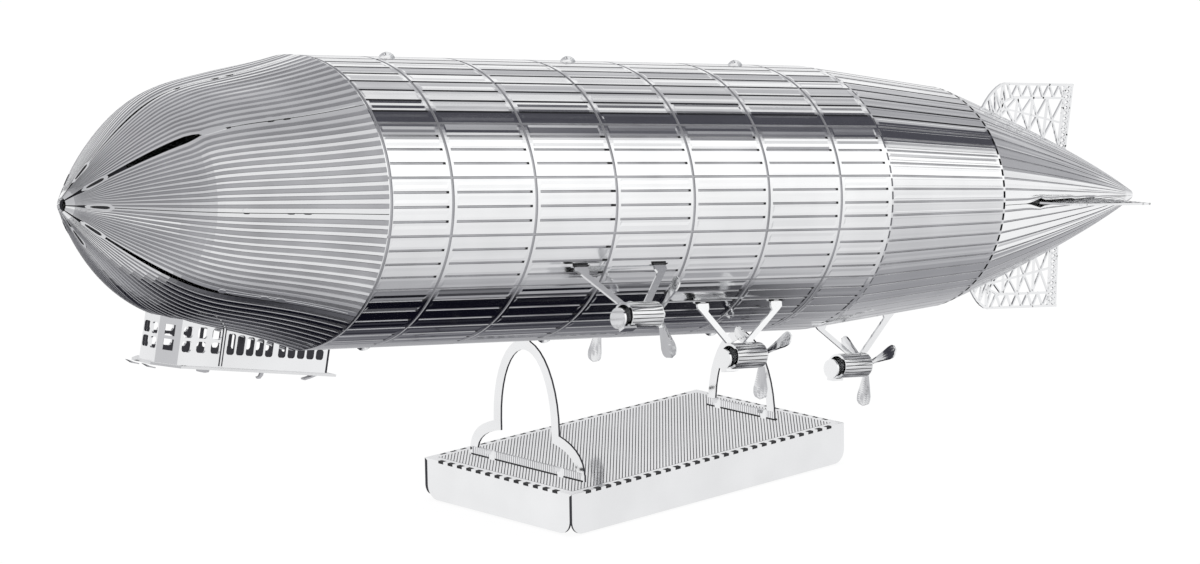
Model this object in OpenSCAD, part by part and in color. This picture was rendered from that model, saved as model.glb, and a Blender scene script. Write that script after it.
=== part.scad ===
// Rigid airship display model, folded from thin polished sheet metal, on its own stand.
// Nose towards -X, up is +Z. The hull rides nose up on two arches of unequal height.
// Hull pieces are drawn in the hull's own frame: x runs aft from the first ring line,
// r is the distance from the hull's axis, and a turn of 0 is the top, 90 starboard.

/* [Sheet] */
// Thickness of the sheet metal
sheet = 0.25; // [0.2:0.01:0.3]
// Clearance between a tab and its slot, each side
slot_gap = 0.06; // [0.04:0.01:0.1]
// Clearance left where one sheet's edge meets another's face
seat_gap = 0.02; // [0.01:0.01:0.05]

/* [Hull] */
// Radius of the middle of the hull
hull_r = 15; // [14:0.5:17]
// Distance between two ring lines
bay = 11.6; // [11:0.1:12.5]
// Number of full bays
bay_count = 5; // [5:1:6]
// Plain length ahead of the first ring line
nose_bay = 8.6; // [7:0.1:10]
// Plain length behind the last ring line
tail_bay = 8.3; // [7:0.1:10]
// Length of the nose petals along the axis
nose_len = 29.1; // [27:0.1:31]
// Fullness of the nose's curve at its root, as a share of the hull's radius
nose_full = 0.665; // [0.65:0.005:0.8]
// Fullness of the nose's curve towards the tip, as a share of the hull's radius
nose_blunt = 0.98; // [0.9:0.01:1]
// Radius of the opening left at the tip of the nose
nose_hole_r = 0.7; // [0.5:0.1:1]
// Length of the tapered tail skin
taper_len = 22; // [20:0.1:26]
// Radius at the aft end of the tapered tail skin
taper_r = 13; // [12:0.1:13.5]
// Length of the tail cone
cone_len = 39.2; // [36:0.1:43]
// Radius of the opening left at the tip of the tail
tail_hole_r = 0.6; // [0.4:0.1:0.9]
// Turn of the port and lower fins against the hull's seams
fin_turn = 3; // [0:0.5:4]
// Gap between neighbouring petals at their roots
petal_gap = 0.08; // [0.05:0.01:0.15]
// Turn of the nose petals against the seams of the hull's skin
nose_turn = 3; // [0:0.5:5]

/* [Seam tabs] */
// Length of a seam tab
seam_tab_len = 2; // [1.5:0.1:2.5]
// Height of a seam tab above the skin
seam_tab_h = 0.6; // [0.4:0.1:0.8]
// First seam tab's distance behind the first ring line
seam_tab_first = 1.8; // [1:0.1:4]
// Distance between seam tabs
seam_tab_pitch = 26; // [22:0.5:28]

/* [Fins] */
// Distance of the fin's leading edge behind the tapered skin
fin_start = 9.6; // [7:0.1:11]
// Length of the fin's root
fin_root = 16.2; // [14:0.1:18]
// Distance of the fin's outer edge from the axis
fin_span = 13.6; // [12:0.1:15]
// Length of the curved leading corner
fin_corner = 4.6; // [3:0.1:6]
// Depth that the fin's root reaches inside the cone
fin_tuck = 1.2; // [0.8:0.1:1.6]
// Number of lattice cells along a fin
fin_cells = 7; // [5:1:8]
// Number of lattice rows across a fin
fin_rows = 4; // [3:1:5]
// Width of a lattice bar
fin_bar = 0.28; // [0.2:0.02:0.34]
// Width of the solid margin round a fin
fin_margin = 0.35; // [0.3:0.05:0.5]

/* [Gondola] */
// Distance of the gondola's stern ahead of the first ring line
gondola_aft = 4.4; // [3:0.1:6]
// Length of the gondola's side panels
side_len = 14.2; // [12:0.1:16]
// Straight length of the cab's sides
cab_len = 5.6; // [4.8:0.1:6.5]
// Half the gondola's width
gondola_half_w = 2.8; // [2.5:0.1:3.2]
// Half the width of the cab's front face
bow_half_w = 1.2; // [1:0.05:1.4]
// Depth of the floor below the hull's underside, at the stern
gondola_drop = 2.2; // [2.2:0.1:2.3]
// Slope of the floor against the hull's axis
gondola_slope = 4.4; // [3.8:0.1:5.4]
// Overhang of the floor past the walls
floor_lip = 0.7; // [0.3:0.05:0.9]
// Number of windows in each of the two groups in a side panel
window_count = 5; // [4:1:5]
// Width of a side window
window_w = 1; // [0.7:0.02:1.05]
// Height of the foremost side window
window_h_fore = 2.15; // [1.6:0.05:2.3]
// Height of the aftmost side window
window_h_aft = 1.05; // [0.8:0.05:1.2]
// Distance between side windows
window_pitch = 1.27; // [1.2:0.01:1.3]
// Height of the window sills above the floor
sill_h = 1.3; // [0.9:0.05:1.4]
// Width of a cab window
cab_window_w = 1.25; // [0.9:0.05:1.4]
// Height of a cab window
cab_window_h = 1.15; // [0.8:0.05:1.2]
// Distance between the cab's two rows of windows
cab_row_gap = 0.3; // [0.3:0.05:0.5]

/* [Engine nacelles] */
// Radius of a nacelle tube
tube_r = 1.4; // [1.3:0.05:1.6]
// Length of a nacelle tube
tube_len = 4.7; // [4:0.1:5.5]
// Gap between the tube and its front disc
disc_gap = 0.75; // [0.6:0.05:1]
// Distance from the hull to a tube's axis, along its struts
strut_drop = 5.85; // [5.7:0.05:6.4]
// Width of a strut
strut_w = 0.8; // [0.7:0.05:1]
// Distance between the tops of a nacelle's two struts
strut_spread = 11.6; // [10:0.1:12.4]
// Distance of the forward pair behind the first ring line
forward_x = 25.2; // [24:0.1:27]
// Distance of the middle pair behind the first ring line
middle_x = 46.9; // [45:0.1:49]
// Distance of the aft nacelle behind the hull's parallel part
aft_x = 12.5; // [11:0.1:14]
// Angle of the forward pair's strut slots below the hull's widest line
forward_low = 19.6; // [16:0.2:24]
// Angle of the middle pair's strut slots below the hull's widest line
middle_low = 41; // [38:0.5:44]
// Slope of the forward pair's struts, from level
forward_hang = 54; // [50:1:60]
// Slope of the middle pair's struts, from level
middle_hang = 76; // [72:1:82]

/* [Propellers] */
// Radius swept by a propeller
prop_r = 4.9; // [4.4:0.1:5]
// Radius of a blade's rounded tip
blade_tip_r = 0.8; // [0.6:0.02:0.9]
// Width of a blade at the hub
blade_root_w = 0.5; // [0.4:0.05:0.6]
// Radius of the propeller's hub
hub_r = 0.75; // [0.7:0.05:0.9]
// Radius of the axle pin
pin_r = 0.3; // [0.25:0.05:0.4]
// Running clearance of the propeller on its pin
pin_gap = 0.05; // [0.03:0.01:0.08]
// Free space between the propeller and what holds it, each side
end_gap = 0.06; // [0.05:0.01:0.1]
// Angle between a blade and the plane that it turns in
blade_pitch = 30; // [20:1:40]

/* [Stand] */
// Length of the stand's top
base_len = 42.4; // [40:0.2:46]
// Width of the stand's top
base_w = 23.2; // [22:0.2:26]
// Height of the stand
base_h = 4.5; // [4.3:0.1:5]
// Radius of the flaps' lower corners
flap_corner_r = 1.5; // [1:0.1:2]
// Gap between two flaps at a corner
corner_gap = 0.15; // [0.04:0.01:0.3]
// Pitch of the perforations along the folds
perf_pitch = 1.5; // [1.3:0.05:1.8]
// Length of a perforation
perf_len = 0.8; // [0.6:0.05:1]
// Distance of each arch from the nearer end of the stand
arch_inset = 4.5; // [4:0.1:6]
// Height of the front arch
front_arch_h = 14.3; // [13.5:0.1:15]
// Height of the rear arch
rear_arch_h = 9.6; // [9:0.1:10.4]
// Distance of the front arch's top behind the first ring line
front_arch_x = 26; // [24.5:0.1:27.5]
// Half width of the front arch's upper loop
front_loop_half_w = 5.1; // [4.6:0.1:5.6]
// Half width of the front arch's shoulders
front_foot_half_w = 9; // [8:0.1:9.6]
// Height of the front arch's shoulders
front_shoulder_h = 4.9; // [4.4:0.1:5.4]
// Half width of the rear arch
rear_half_w = 5.2; // [4.8:0.1:5.8]
// Width of the arches' band
arch_band = 1.1; // [0.9:0.05:1.3]
// Height of the bar along the foot of an arch
foot_bar_h = 0.8; // [0.6:0.1:1]

/* [Hidden] */
$fn = 96;
far = 60;
cut_slack = 0.5;
steps = 14;
cap_first = 12;
petals = 8;
petal_turn = 360 / petals;
arc_step = 9;
steel = [0.86, 0.87, 0.88];
steel_dim = [0.74, 0.75, 0.77];

// Stations along the hull
x_mid0 = -nose_bay;
x_mid1 = bay_count * bay + tail_bay;
x_taper = x_mid1 + taper_len;
x_nose = x_mid0 - nose_len;
x_tail = x_taper + cone_len;

// The nose's and the tail's outlines are Bezier curves, as [x, r] control points
nose_root_reach = 0.567;
nose_tip_reach = 0.425;
cone_root_reach = 0.38;
cone_full = 0.695;
cone_tip_reach = 0.76;
cone_slim = 0.347;
nose_ctrl = [
    [x_mid0, hull_r],
    [x_mid0 - nose_root_reach * nose_len, nose_full * hull_r],
    [x_nose + nose_tip_reach * nose_len, nose_blunt * hull_r],
    [x_nose, nose_hole_r]
];
cone_ctrl = [
    [x_taper, taper_r],
    [x_taper + cone_root_reach * cone_len, cone_full * taper_r],
    [x_taper + cone_tip_reach * cone_len, cone_slim * taper_r],
    [x_tail, tail_hole_r]
];

// Seat of the hull on the arches, in the stand's own frame
arch_spacing = base_len - 2 * arch_inset;
arch_x = arch_spacing / 2;
pitch_up = atan((front_arch_h - rear_arch_h) / arch_spacing);
seat_rise = hull_r + seat_gap + sheet * tan(pitch_up);
hull_rel_x = -arch_x - front_arch_x * cos(pitch_up) + seat_rise * sin(pitch_up);
hull_z = base_h + front_arch_h + front_arch_x * sin(pitch_up) + seat_rise * cos(pitch_up);
rear_arch_along = front_arch_x + arch_spacing / cos(pitch_up);

// The origin lies under the middle of the whole length
nose_outline = curve(nose_ctrl);
nose_reach = min([for (p = nose_outline) p[0] * cos(pitch_up) - p[1] * sin(pitch_up)]);
tail_reach = x_tail * cos(pitch_up) + tail_hole_r * sin(pitch_up);
stand_x = -hull_rel_x - (nose_reach + tail_reach) / 2;

// Gondola
gondola_depth = hull_r + gondola_drop;
cab_front = side_len + cab_len;
bow_cut = gondola_half_w - bow_half_w;
wall_h = 9;
fore_group_at = 0.75;
aft_group_at = 0.27;

// Nacelles: [station, turn of the slots from the top, slope of the struts, side]
aft_station = x_mid1 + aft_x;
nacelle_list = [
    [forward_x, 270 - forward_low, forward_hang, -1],
    [forward_x, 90 + forward_low, forward_hang, 1],
    [middle_x, 270 - middle_low, middle_hang, -1],
    [middle_x, 90 + middle_low, middle_hang, 1],
    [aft_station, 180, 90, 0]
];
blade_turn = [30, 90, 56, 64, 60];
tab_in = strut_w * 1.1;
tab_w = strut_w * 0.8;
flare_w = strut_w * 1.9;
flare_h = strut_w * 1.1;
disc_r = tube_r * 0.79;
disc_low = tube_r - disc_r;
back_seat = sheet * 1.4;
pin_head_r = pin_r + sheet;
pin_len = end_gap * 2 + sheet;
arch_tab_w = arch_band * 1.45;
arch_tab_at = 0.6;
shoulder_squareness = 2.6;
arch_tab_pass = sheet + 4 * seat_gap;

function bezier(c, t) = c[0] * pow(1 - t, 3) + c[1] * 3 * t * pow(1 - t, 2)
    + c[2] * 3 * t * t * (1 - t) + c[3] * pow(t, 3);
function curve(c) = [for (i = [0 : steps]) bezier(c, i / steps)];
function slope(c, t) = bezier(c, min(1, t + 0.002)) - bezier(c, max(0, t - 0.002));
function unit(v) = v / norm(v);
// Point of the curve moved by d away from the hull's axis, on the side given by way
function shifted(c, t, d, way) = bezier(c, t) + d * way * unit([-slope(c, t)[1], slope(c, t)[0]]);
function shifted_curve(c, d, way) = [for (i = [0 : steps]) shifted(c, i / steps, d, way)];
function reversed(list) = [for (i = [len(list) - 1 : -1 : 0]) list[i]];
// Hull points [x, r] as the profile that revolve() turns
function as_profile(list) = [for (p = list) [p[1], -p[0]]];
// Radius of the outer surface between the parallel part and the tapered skin's end
function skin_r(x) = x < x_mid1 ? hull_r : hull_r - (hull_r - taper_r) * (x - x_mid1) / taper_len;
// Radius of the cone's outer surface near station x
function cone_r(x) = lookup(x, [for (p = curve(cone_ctrl)) [p[0], p[1]]]);
function superellipse(a, b, e) = [for (u = [0 : arc_step : 180])
    [a * sign(cos(u)) * pow(abs(cos(u)), 2 / e), b * pow(sin(u), 2 / e)]];

module at_hull() {
    translate([stand_x + hull_rel_x, 0, hull_z]) rotate([0, pitch_up, 0]) children();
}

// Turns a profile of [r, -x] points about the hull's axis, from one angle through another
module revolve(profile, start, sweep) {
    rotate([0, -90, 0]) rotate([0, 0, start]) rotate_extrude(angle = sweep) polygon(profile);
}

// Everything inside the hull's outer surface, grown by a clearance
module hull_solid(grow) {
    revolve(as_profile(concat(
        [[x_nose, 0]],
        reversed(shifted_curve(nose_ctrl, grow, -1)),
        [[x_mid0, hull_r + grow], [x_mid1, hull_r + grow], [x_taper, taper_r + grow], [x_taper, 0]]
    )), 0, 360);
}

// The same for a petal, whose profile is cut off square between two stations
module revolve_petal(profile, x0, x1, start, sweep) {
    rotate([0, -90, 0]) rotate([0, 0, start]) rotate_extrude(angle = sweep) intersection() {
        polygon(profile);
        translate([0, -x1]) square([far, x1 - x0]);
    }
}

module tube_arc(x0, x1, r, start, sweep) {
    revolve([[r - sheet, -x0], [r, -x0], [r, -x1], [r - sheet, -x1]], start, sweep);
}

// A nacelle's slot point on the hull, as [y, z], and its lean from upright
function slot_point(n) = skin_r(n[0]) * [sin(n[1]), cos(n[1])];
function lean(n) = n[3] * (90 - n[2]);

module at_slots(n) {
    translate([n[0], slot_point(n)[0], slot_point(n)[1]]) rotate([lean(n), 0, 0]) children();
}

// Puts its children at a nacelle's tube centre, z along the struts towards the hull
module at_nacelle(n) {
    at_hull() at_slots(n) translate([0, 0, -strut_drop]) children();
}

// Slots in the skins for the struts' tabs
module strut_slots() {
    for (n = nacelle_list) at_slots(n) for (s = [-1, 1]) translate([s * strut_spread / 2, 0, 0])
        cube([tab_w + 2 * slot_gap, sheet + 2 * slot_gap, 4 * tab_in], center = true);
}

// Slots in the skins for the arches' top tabs; the arches stand upright under a pitched hull
module arch_slots() {
    for (along = [front_arch_x, rear_arch_along]) translate([along, 0, -hull_r]) rotate([0, -pitch_up, 0]) cube(
        [sheet + 2 * slot_gap + 2 * tab_in * tan(pitch_up), arch_tab_w + 2 * slot_gap, 4 * tab_in], center = true
    );
}

module seam_tabs(side) {
    for (i = [0 : 2], up = [-1, 1]) {
        x = seam_tab_first + i * seam_tab_pitch;
        if (x + seam_tab_len < x_mid1) translate([x, side * sheet / 2, up * (hull_r + seam_tab_h / 2 - sheet / 2)])
            cube([seam_tab_len, sheet, seam_tab_h + sheet], center = true);
    }
}

module hull_skin(side) {
    color(steel) at_hull() difference() {
        union() {
            tube_arc(x_mid0, x_mid1, hull_r, side > 0 ? 0 : 180, 180);
            if (side < 0) seam_tabs(side);
        }
        strut_slots();
        arch_slots();
    }
}

module nose_petal(i) {
    gap_turn = asin(petal_gap / hull_r);
    outer = curve(nose_ctrl);
    inner = shifted_curve(nose_ctrl, sheet, 1);
    color(steel) at_hull()
        revolve_petal(as_profile(concat(outer, reversed(inner))), x_nose, x_mid0 - seat_gap,
            nose_turn + i * petal_turn + gap_turn / 2, petal_turn - gap_turn);
}

// Small dished cap inside the tip of the nose, which the petals' tips are tabbed to
module nose_cap() {
    lift = sheet + seat_gap;
    outer = [for (i = [cap_first : steps]) shifted(nose_ctrl, i / steps, lift, 1)];
    inner = [for (i = [steps : -1 : cap_first]) shifted(nose_ctrl, i / steps, lift + sheet, 1)];
    color(steel_dim) at_hull() revolve(as_profile(concat(outer, inner)), 0, 360);
}

module tail_skin(side) {
    color(steel) at_hull() difference() {
        revolve([
            [hull_r - sheet, -x_mid1], [hull_r, -x_mid1], [taper_r, -x_taper], [taper_r - sheet, -x_taper]
        ], side > 0 ? 0 : 180, 180);
        strut_slots();
    }
}

// Turn at which tail petal i starts; every second one is a fin's place
function tail_bound(i) = i * petal_turn + (i >= petals / 2 && i < petals ? fin_turn : 0);

// Slots in the cone for the fins
module fin_slots() {
    for (i = [0 : 2 : petals - 1]) rotate([-tail_bound(i), 0, 0])
        translate([x_taper - far, -sheet / 2 - slot_gap, 0]) cube([3 * far, sheet + 2 * slot_gap, far]);
}

module tail_petal(i) {
    gap_turn = asin(petal_gap / taper_r);
    start = tail_bound(i);
    outer = curve(cone_ctrl);
    inner = shifted_curve(cone_ctrl, sheet, -1);
    color(steel) at_hull() difference() {
        revolve_petal(as_profile(concat(outer, reversed(inner))), x_taper + seat_gap, x_tail,
            start + gap_turn / 2, tail_bound(i + 1) - start - gap_turn);
        fin_slots();
    }
}

fin_lead = 0.15;
fin_shoulder = 0.86;
fin_x0 = x_taper + fin_start;
fin_x1 = fin_x0 + fin_root;
fin_in0 = cone_r(fin_x0) - fin_tuck;
fin_in1 = cone_r(fin_x1) - fin_tuck;
fin_out0 = [fin_x0 + fin_corner, fin_span];
// Point of the fin's lattice field, u along the hull and v from root to tip
function fin_point(u, v) =
    let (low = [fin_x0 + u * fin_root, cone_r(fin_x0 + u * fin_root) + fin_margin],
         high = [fin_x0 + fin_corner * 0.8 + u * (fin_root - 0.8 * fin_corner), fin_span - fin_margin])
    low * (1 - v) + high * v;
function shrunk(tri, d) = let (m = (tri[0] + tri[1] + tri[2]) / 3)
    [for (p = tri) m + (p - m) * max(0.2, 1 - d / norm(p - m) * 1.9)];

module fin_triangle(a, b, c) {
    polygon(shrunk([a, b, c], fin_bar / 2));
}

module fin_outline() {
    corner = [[fin_x0, cone_r(fin_x0)], [fin_x0 + fin_lead * fin_corner, fin_span * fin_shoulder],
        [fin_x0 + fin_corner / 2, fin_span], fin_out0];
    polygon(concat(
        [[fin_x0, fin_in0]],
        curve(corner),
        [[fin_x1 + fin_margin, fin_span], [fin_x1, fin_in1]]
    ));
}

module fin(i) {
    du = 1 / fin_cells;
    dv = 1 / fin_rows;
    color(steel) at_hull() rotate([-tail_bound(i), 0, 0]) rotate([90, 0, 0]) translate([0, 0, -sheet / 2])
        linear_extrude(sheet) difference() {
            fin_outline();
            for (i = [0 : fin_cells - 1], j = [0 : fin_rows - 1]) {
                u = i * du + 0.03;
                v = j * dv;
                w = min(u + du, 0.97);
                fin_triangle(fin_point(u, v), fin_point(w, v), fin_point(u, v + dv));
                fin_triangle(fin_point(w, v), fin_point(w, v + dv), fin_point(u, v + dv));
            }
        }
}

// Frame of the gondola: origin at the stern on top of the floor, x aft, sloping with the floor
module at_gondola() {
    at_hull() translate([-gondola_aft, 0, -gondola_depth]) rotate([0, gondola_slope, 0]) children();
}

// The hull's outer surface, seen from the gondola's frame
module hull_over_gondola() {
    rotate([0, -gondola_slope, 0]) translate([gondola_aft, 0, gondola_depth]) hull_solid(seat_gap);
}

module window(w, h) {
    r = w * 0.3;
    linear_extrude(4 * sheet, center = true) union() {
        square([w, h - 2 * r], center = true);
        square([w - 2 * r, h], center = true);
        for (a = [-1, 1], b = [-1, 1]) translate([a * (w / 2 - r), b * (h / 2 - r)]) circle(r);
    }
}

// Outline of the cab seen from above, grown by a margin, from its seam to the bow
module cab_plan(grow) {
    half = gondola_half_w + grow;
    nose_half = bow_half_w + grow * tan(22.5);
    polygon([
        [-side_len, -half], [-cab_front, -half], [-cab_front - bow_cut - grow, -nose_half],
        [-cab_front - bow_cut - grow, nose_half], [-cab_front, half], [-side_len, half]
    ]);
}

module gondola_floor() {
    half = gondola_half_w + floor_lip;
    color(steel_dim) at_gondola() translate([0, 0, -sheet]) linear_extrude(sheet) union() {
        translate([-cab_front, -half]) square([cab_front + floor_lip, 2 * half]);
        cab_plan(floor_lip);
    }
}

// The cab's windows stand in two rows: three to a side, one on each slanting face, two at the front
module cab_windows() {
    for (row = [0, 1]) {
        z = sill_h + cab_window_h / 2 + row * (cab_window_h + cab_row_gap);
        for (s = [-1, 1], i = [0 : 2])
            translate([-side_len - cab_len * (i + 0.5) / 3, s * gondola_half_w, z])
                rotate([90, 0, 0]) window(cab_window_w, cab_window_h);
        for (s = [-1, 1]) translate([-cab_front - bow_cut / 2, s * (gondola_half_w + bow_half_w) / 2, z])
            rotate([90, 0, -s * 45]) window(cab_window_w, cab_window_h);
        for (s = [-1, 1]) translate([-cab_front - bow_cut, s * bow_half_w * 0.5, z])
            rotate([90, 0, 90]) window(bow_half_w * 0.75, cab_window_h);
    }
}

module gondola_cab() {
    color(steel) at_gondola() difference() {
        linear_extrude(wall_h) difference() {
            cab_plan(0);
            cab_plan(-sheet);
            translate([-side_len - seat_gap, -far / 2]) square([cut_slack, far]);
            translate([-side_len - cut_slack, sheet - gondola_half_w])
                square([2 * cut_slack, 2 * (gondola_half_w - sheet)]);
        }
        hull_over_gondola();
        cab_windows();
    }
}

module gondola_side(side) {
    group = (window_count - 1) * window_pitch;
    count = 2 * window_count;
    color(steel) at_gondola() difference() {
        translate([-side_len, side > 0 ? gondola_half_w - sheet : -gondola_half_w, 0])
            cube([side_len - sheet - seat_gap, sheet, wall_h]);
        hull_over_gondola();
        for (c = [0, 1], i = [0 : window_count - 1]) {
            h = window_h_fore + (window_h_aft - window_h_fore) * (c * window_count + i) / (count - 1);
            x = -side_len * (c == 0 ? fore_group_at : aft_group_at) - group / 2 + i * window_pitch;
            translate([x, side * gondola_half_w, sill_h + h / 2]) rotate([90, 0, 0]) window(window_w, h);
        }
    }
}

module gondola_stern() {
    color(steel) at_gondola() difference() {
        translate([-sheet, -gondola_half_w, 0]) cube([sheet, 2 * gondola_half_w, wall_h]);
        hull_over_gondola();
    }
}

// Rolled tube, open ends, its axis along the hull
module nacelle_tube(n) {
    color(steel) at_nacelle(n) rotate([0, 90, 0]) difference() {
        cylinder(h = tube_len, r = tube_r, center = true);
        cylinder(h = tube_len + 1, r = tube_r - sheet, center = true);
    }
}

// Front disc, held off the tube by a tab folded back along its underside
module nacelle_disc(n) {
    front = tube_len / 2 + disc_gap;
    under = tube_r + seat_gap + sheet;
    color(steel_dim) at_nacelle(n) translate([-front - sheet, 0, 0]) union() {
        translate([0, 0, -disc_low]) rotate([0, 90, 0]) cylinder(h = sheet, r = disc_r);
        translate([0, -strut_w / 2, -under]) cube([sheet, strut_w, sheet + disc_r / 2]);
        translate([0, -strut_w / 2, -under]) cube([sheet + disc_gap + tab_in, strut_w, sheet]);
    }
}

// Back plate pressed into the tube, with the pin that the propeller turns on
module nacelle_back(n) {
    back = tube_len / 2;
    color(steel_dim) at_nacelle(n) rotate([0, 90, 0]) union() {
        translate([0, 0, back - sheet]) cylinder(h = sheet, r = tube_r - sheet - seat_gap);
        translate([0, 0, back - sheet]) cylinder(h = sheet + back_seat + pin_len, r = pin_r);
        translate([0, 0, back]) cylinder(h = back_seat, r = pin_head_r);
        translate([0, 0, back + back_seat + pin_len]) cylinder(h = sheet, r = pin_head_r);
    }
}

// One strut, drawn in the plane of the V: x along the hull, y towards it
module strut_plan(top) {
    bottom_x = tube_len / 2 - strut_w * 0.6;
    top_x = strut_spread / 2;
    foot = tube_r + seat_gap;
    polygon([
        [bottom_x - strut_w / 2, foot],
        [bottom_x + strut_w / 2, foot],
        [top_x + strut_w / 2, top - flare_h],
        [top_x + flare_w / 2, top + tab_in],
        [top_x - flare_w / 2, top + tab_in],
        [top_x - strut_w / 2, top - flare_h]
    ]);
}

module nacelle_struts(n) {
    color(steel) union() {
        for (s = [-1, 1]) {
            top = strut_drop + skin_r(n[0]) - skin_r(n[0] + s * strut_spread / 2);
            difference() {
                at_nacelle(n) rotate([90, 0, 0]) translate([0, 0, -sheet / 2]) linear_extrude(sheet)
                    mirror([s < 0 ? 1 : 0, 0]) strut_plan(top);
                at_hull() hull_solid(seat_gap);
            }
            at_nacelle(n) translate([s * strut_spread / 2 - tab_w / 2, -sheet / 2, top - flare_h * 0.5])
                cube([tab_w, sheet, flare_h * 0.5 + tab_in]);
        }
    }
}

// One blade along +z, drawn flat, set at its pitch about its own length
module blade() {
    tip = prop_r - blade_tip_r;
    rotate([0, 0, -blade_pitch]) rotate([90, 0, 90]) translate([0, 0, -sheet / 2]) linear_extrude(sheet) union() {
        polygon([
            [-blade_root_w / 2, pin_r + pin_gap + sheet],
            [blade_root_w / 2, pin_r + pin_gap + sheet],
            [blade_tip_r * 0.98, tip],
            [-blade_tip_r * 0.98, tip]
        ]);
        translate([0, tip]) circle(blade_tip_r);
    }
}

module propeller(n, turn) {
    plane_x = tube_len / 2 + back_seat + end_gap;
    color(steel) at_nacelle(n) translate([plane_x, 0, 0]) difference() {
        union() {
            rotate([0, 90, 0]) cylinder(h = sheet, r = hub_r);
            for (k = [0 : 2]) rotate([turn - lean(n) + k * 120, 0, 0]) translate([sheet / 2, 0, 0]) blade();
        }
        translate([-far / 2, 0, 0]) rotate([0, 90, 0]) cylinder(h = far, r = pin_r + pin_gap);
    }
}

module perforations(count) {
    for (i = [0 : count - 1]) translate([(i - (count - 1) / 2) * perf_pitch, 0, 0])
        cube([perf_len, 4 * sheet, 2.2 * sheet], center = true);
}

// A flap lies in the xz plane, hanging from the fold at z = 0
module flap(length) {
    r = flap_corner_r;
    rotate([90, 0, 0]) linear_extrude(sheet) union() {
        translate([-length / 2, -base_h + r]) square([length, base_h - r]);
        translate([-length / 2 + r, -base_h]) square([length - 2 * r, r]);
        for (s = [-1, 1]) translate([s * (length / 2 - r), -base_h + r]) circle(r);
    }
}

module base_tray() {
    long_count = floor((base_len - 2 * perf_pitch) / perf_pitch);
    short_count = floor((base_w - 2 * perf_pitch) / perf_pitch);
    color(steel) translate([stand_x, 0, base_h]) difference() {
        union() {
            translate([-base_len / 2, -base_w / 2, -sheet]) cube([base_len, base_w, sheet]);
            for (s = [0, 1]) rotate([0, 0, 180 * s]) translate([0, -base_w / 2 + sheet, 0]) flap(base_len);
            for (s = [0, 1]) rotate([0, 0, 90 + 180 * s]) translate([0, -base_len / 2 + sheet, 0])
                flap(base_w - 2 * sheet - 2 * corner_gap);
        }
        for (s = [-1, 1]) translate([0, s * base_w / 2, 0]) perforations(long_count);
        for (s = [-1, 1]) translate([s * base_len / 2, 0, 0]) rotate([0, 0, 90]) perforations(short_count);
        for (a = [[-arch_x, front_foot_half_w], [arch_x, rear_half_w]], s = [-1, 1])
            translate([a[0], s * a[1] * arch_tab_at, 0]) cube(
                [sheet + 2 * slot_gap, arch_tab_w + 2 * slot_gap, 4 * sheet], center = true
            );
    }
}

// Arch plate in the yz plane. Its outline is a list of shapes, and its opening another
module arch(x, half_w, top_y) {
    translate([stand_x + x, 0, base_h + seat_gap]) rotate([90, 0, 90]) translate([0, 0, -sheet / 2])
        linear_extrude(sheet) union() {
            difference() {
                children(0);
                children(1);
            }
            translate([-half_w, 0]) square([2 * half_w, foot_bar_h]);
            translate([-arch_tab_w / 2, top_y - arch_band / 2]) square([arch_tab_w, arch_band / 2 + tab_in]);
            for (s = [-1, 1]) translate([s * half_w * arch_tab_at - arch_tab_w / 2, -arch_tab_pass])
                square([arch_tab_w, arch_tab_pass + seat_gap]);
        }
}

module front_arch() {
    top = front_arch_h - 2 * seat_gap;
    loop_b = top - front_shoulder_h;
    color(steel) arch(-arch_x, front_foot_half_w, top) {
        union() {
            polygon(superellipse(front_foot_half_w, front_shoulder_h, shoulder_squareness));
            translate([0, front_shoulder_h]) polygon(superellipse(front_loop_half_w, loop_b, 2));
            translate([-front_loop_half_w, 0]) square([2 * front_loop_half_w, front_shoulder_h]);
        }
        union() {
            polygon(superellipse(front_foot_half_w - arch_band, front_shoulder_h - arch_band, shoulder_squareness));
            translate([0, front_shoulder_h])
                polygon(superellipse(front_loop_half_w - arch_band, loop_b - arch_band, 2));
            translate([arch_band - front_loop_half_w, foot_bar_h])
                square([2 * (front_loop_half_w - arch_band), front_shoulder_h - foot_bar_h]);
        }
    }
}

module rear_arch() {
    top = rear_arch_h - 2 * seat_gap;
    color(steel) arch(arch_x, rear_half_w, top) {
        polygon(superellipse(rear_half_w, top, 2));
        polygon(superellipse(rear_half_w - arch_band, top - arch_band, 2));
    }
}

hull_skin(-1);  // hull_skin_port
hull_skin(1);  // hull_skin_starboard
nose_petal(0);  // nose_petal_1
nose_petal(1);  // nose_petal_2
nose_petal(2);  // nose_petal_3
nose_petal(3);  // nose_petal_4
nose_petal(4);  // nose_petal_5
nose_petal(5);  // nose_petal_6
nose_petal(6);  // nose_petal_7
nose_petal(7);  // nose_petal_8
nose_cap();
tail_skin(-1);  // tail_skin_port
tail_skin(1);  // tail_skin_starboard
tail_petal(0);  // tail_petal_1
tail_petal(1);  // tail_petal_2
tail_petal(2);  // tail_petal_3
tail_petal(3);  // tail_petal_4
tail_petal(4);  // tail_petal_5
tail_petal(5);  // tail_petal_6
tail_petal(6);  // tail_petal_7
tail_petal(7);  // tail_petal_8
fin(0);  // fin_upper
fin(2);  // fin_starboard
fin(4);  // fin_lower
fin(6);  // fin_port
gondola_floor();
gondola_cab();
gondola_side(-1);  // gondola_side_port
gondola_side(1);  // gondola_side_starboard
gondola_stern();
nacelle_tube(nacelle_list[0]);  // nacelle_tube_1
nacelle_tube(nacelle_list[1]);  // nacelle_tube_2
nacelle_tube(nacelle_list[2]);  // nacelle_tube_3
nacelle_tube(nacelle_list[3]);  // nacelle_tube_4
nacelle_tube(nacelle_list[4]);  // nacelle_tube_5
nacelle_disc(nacelle_list[0]);  // nacelle_disc_1
nacelle_disc(nacelle_list[1]);  // nacelle_disc_2
nacelle_disc(nacelle_list[2]);  // nacelle_disc_3
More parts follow.
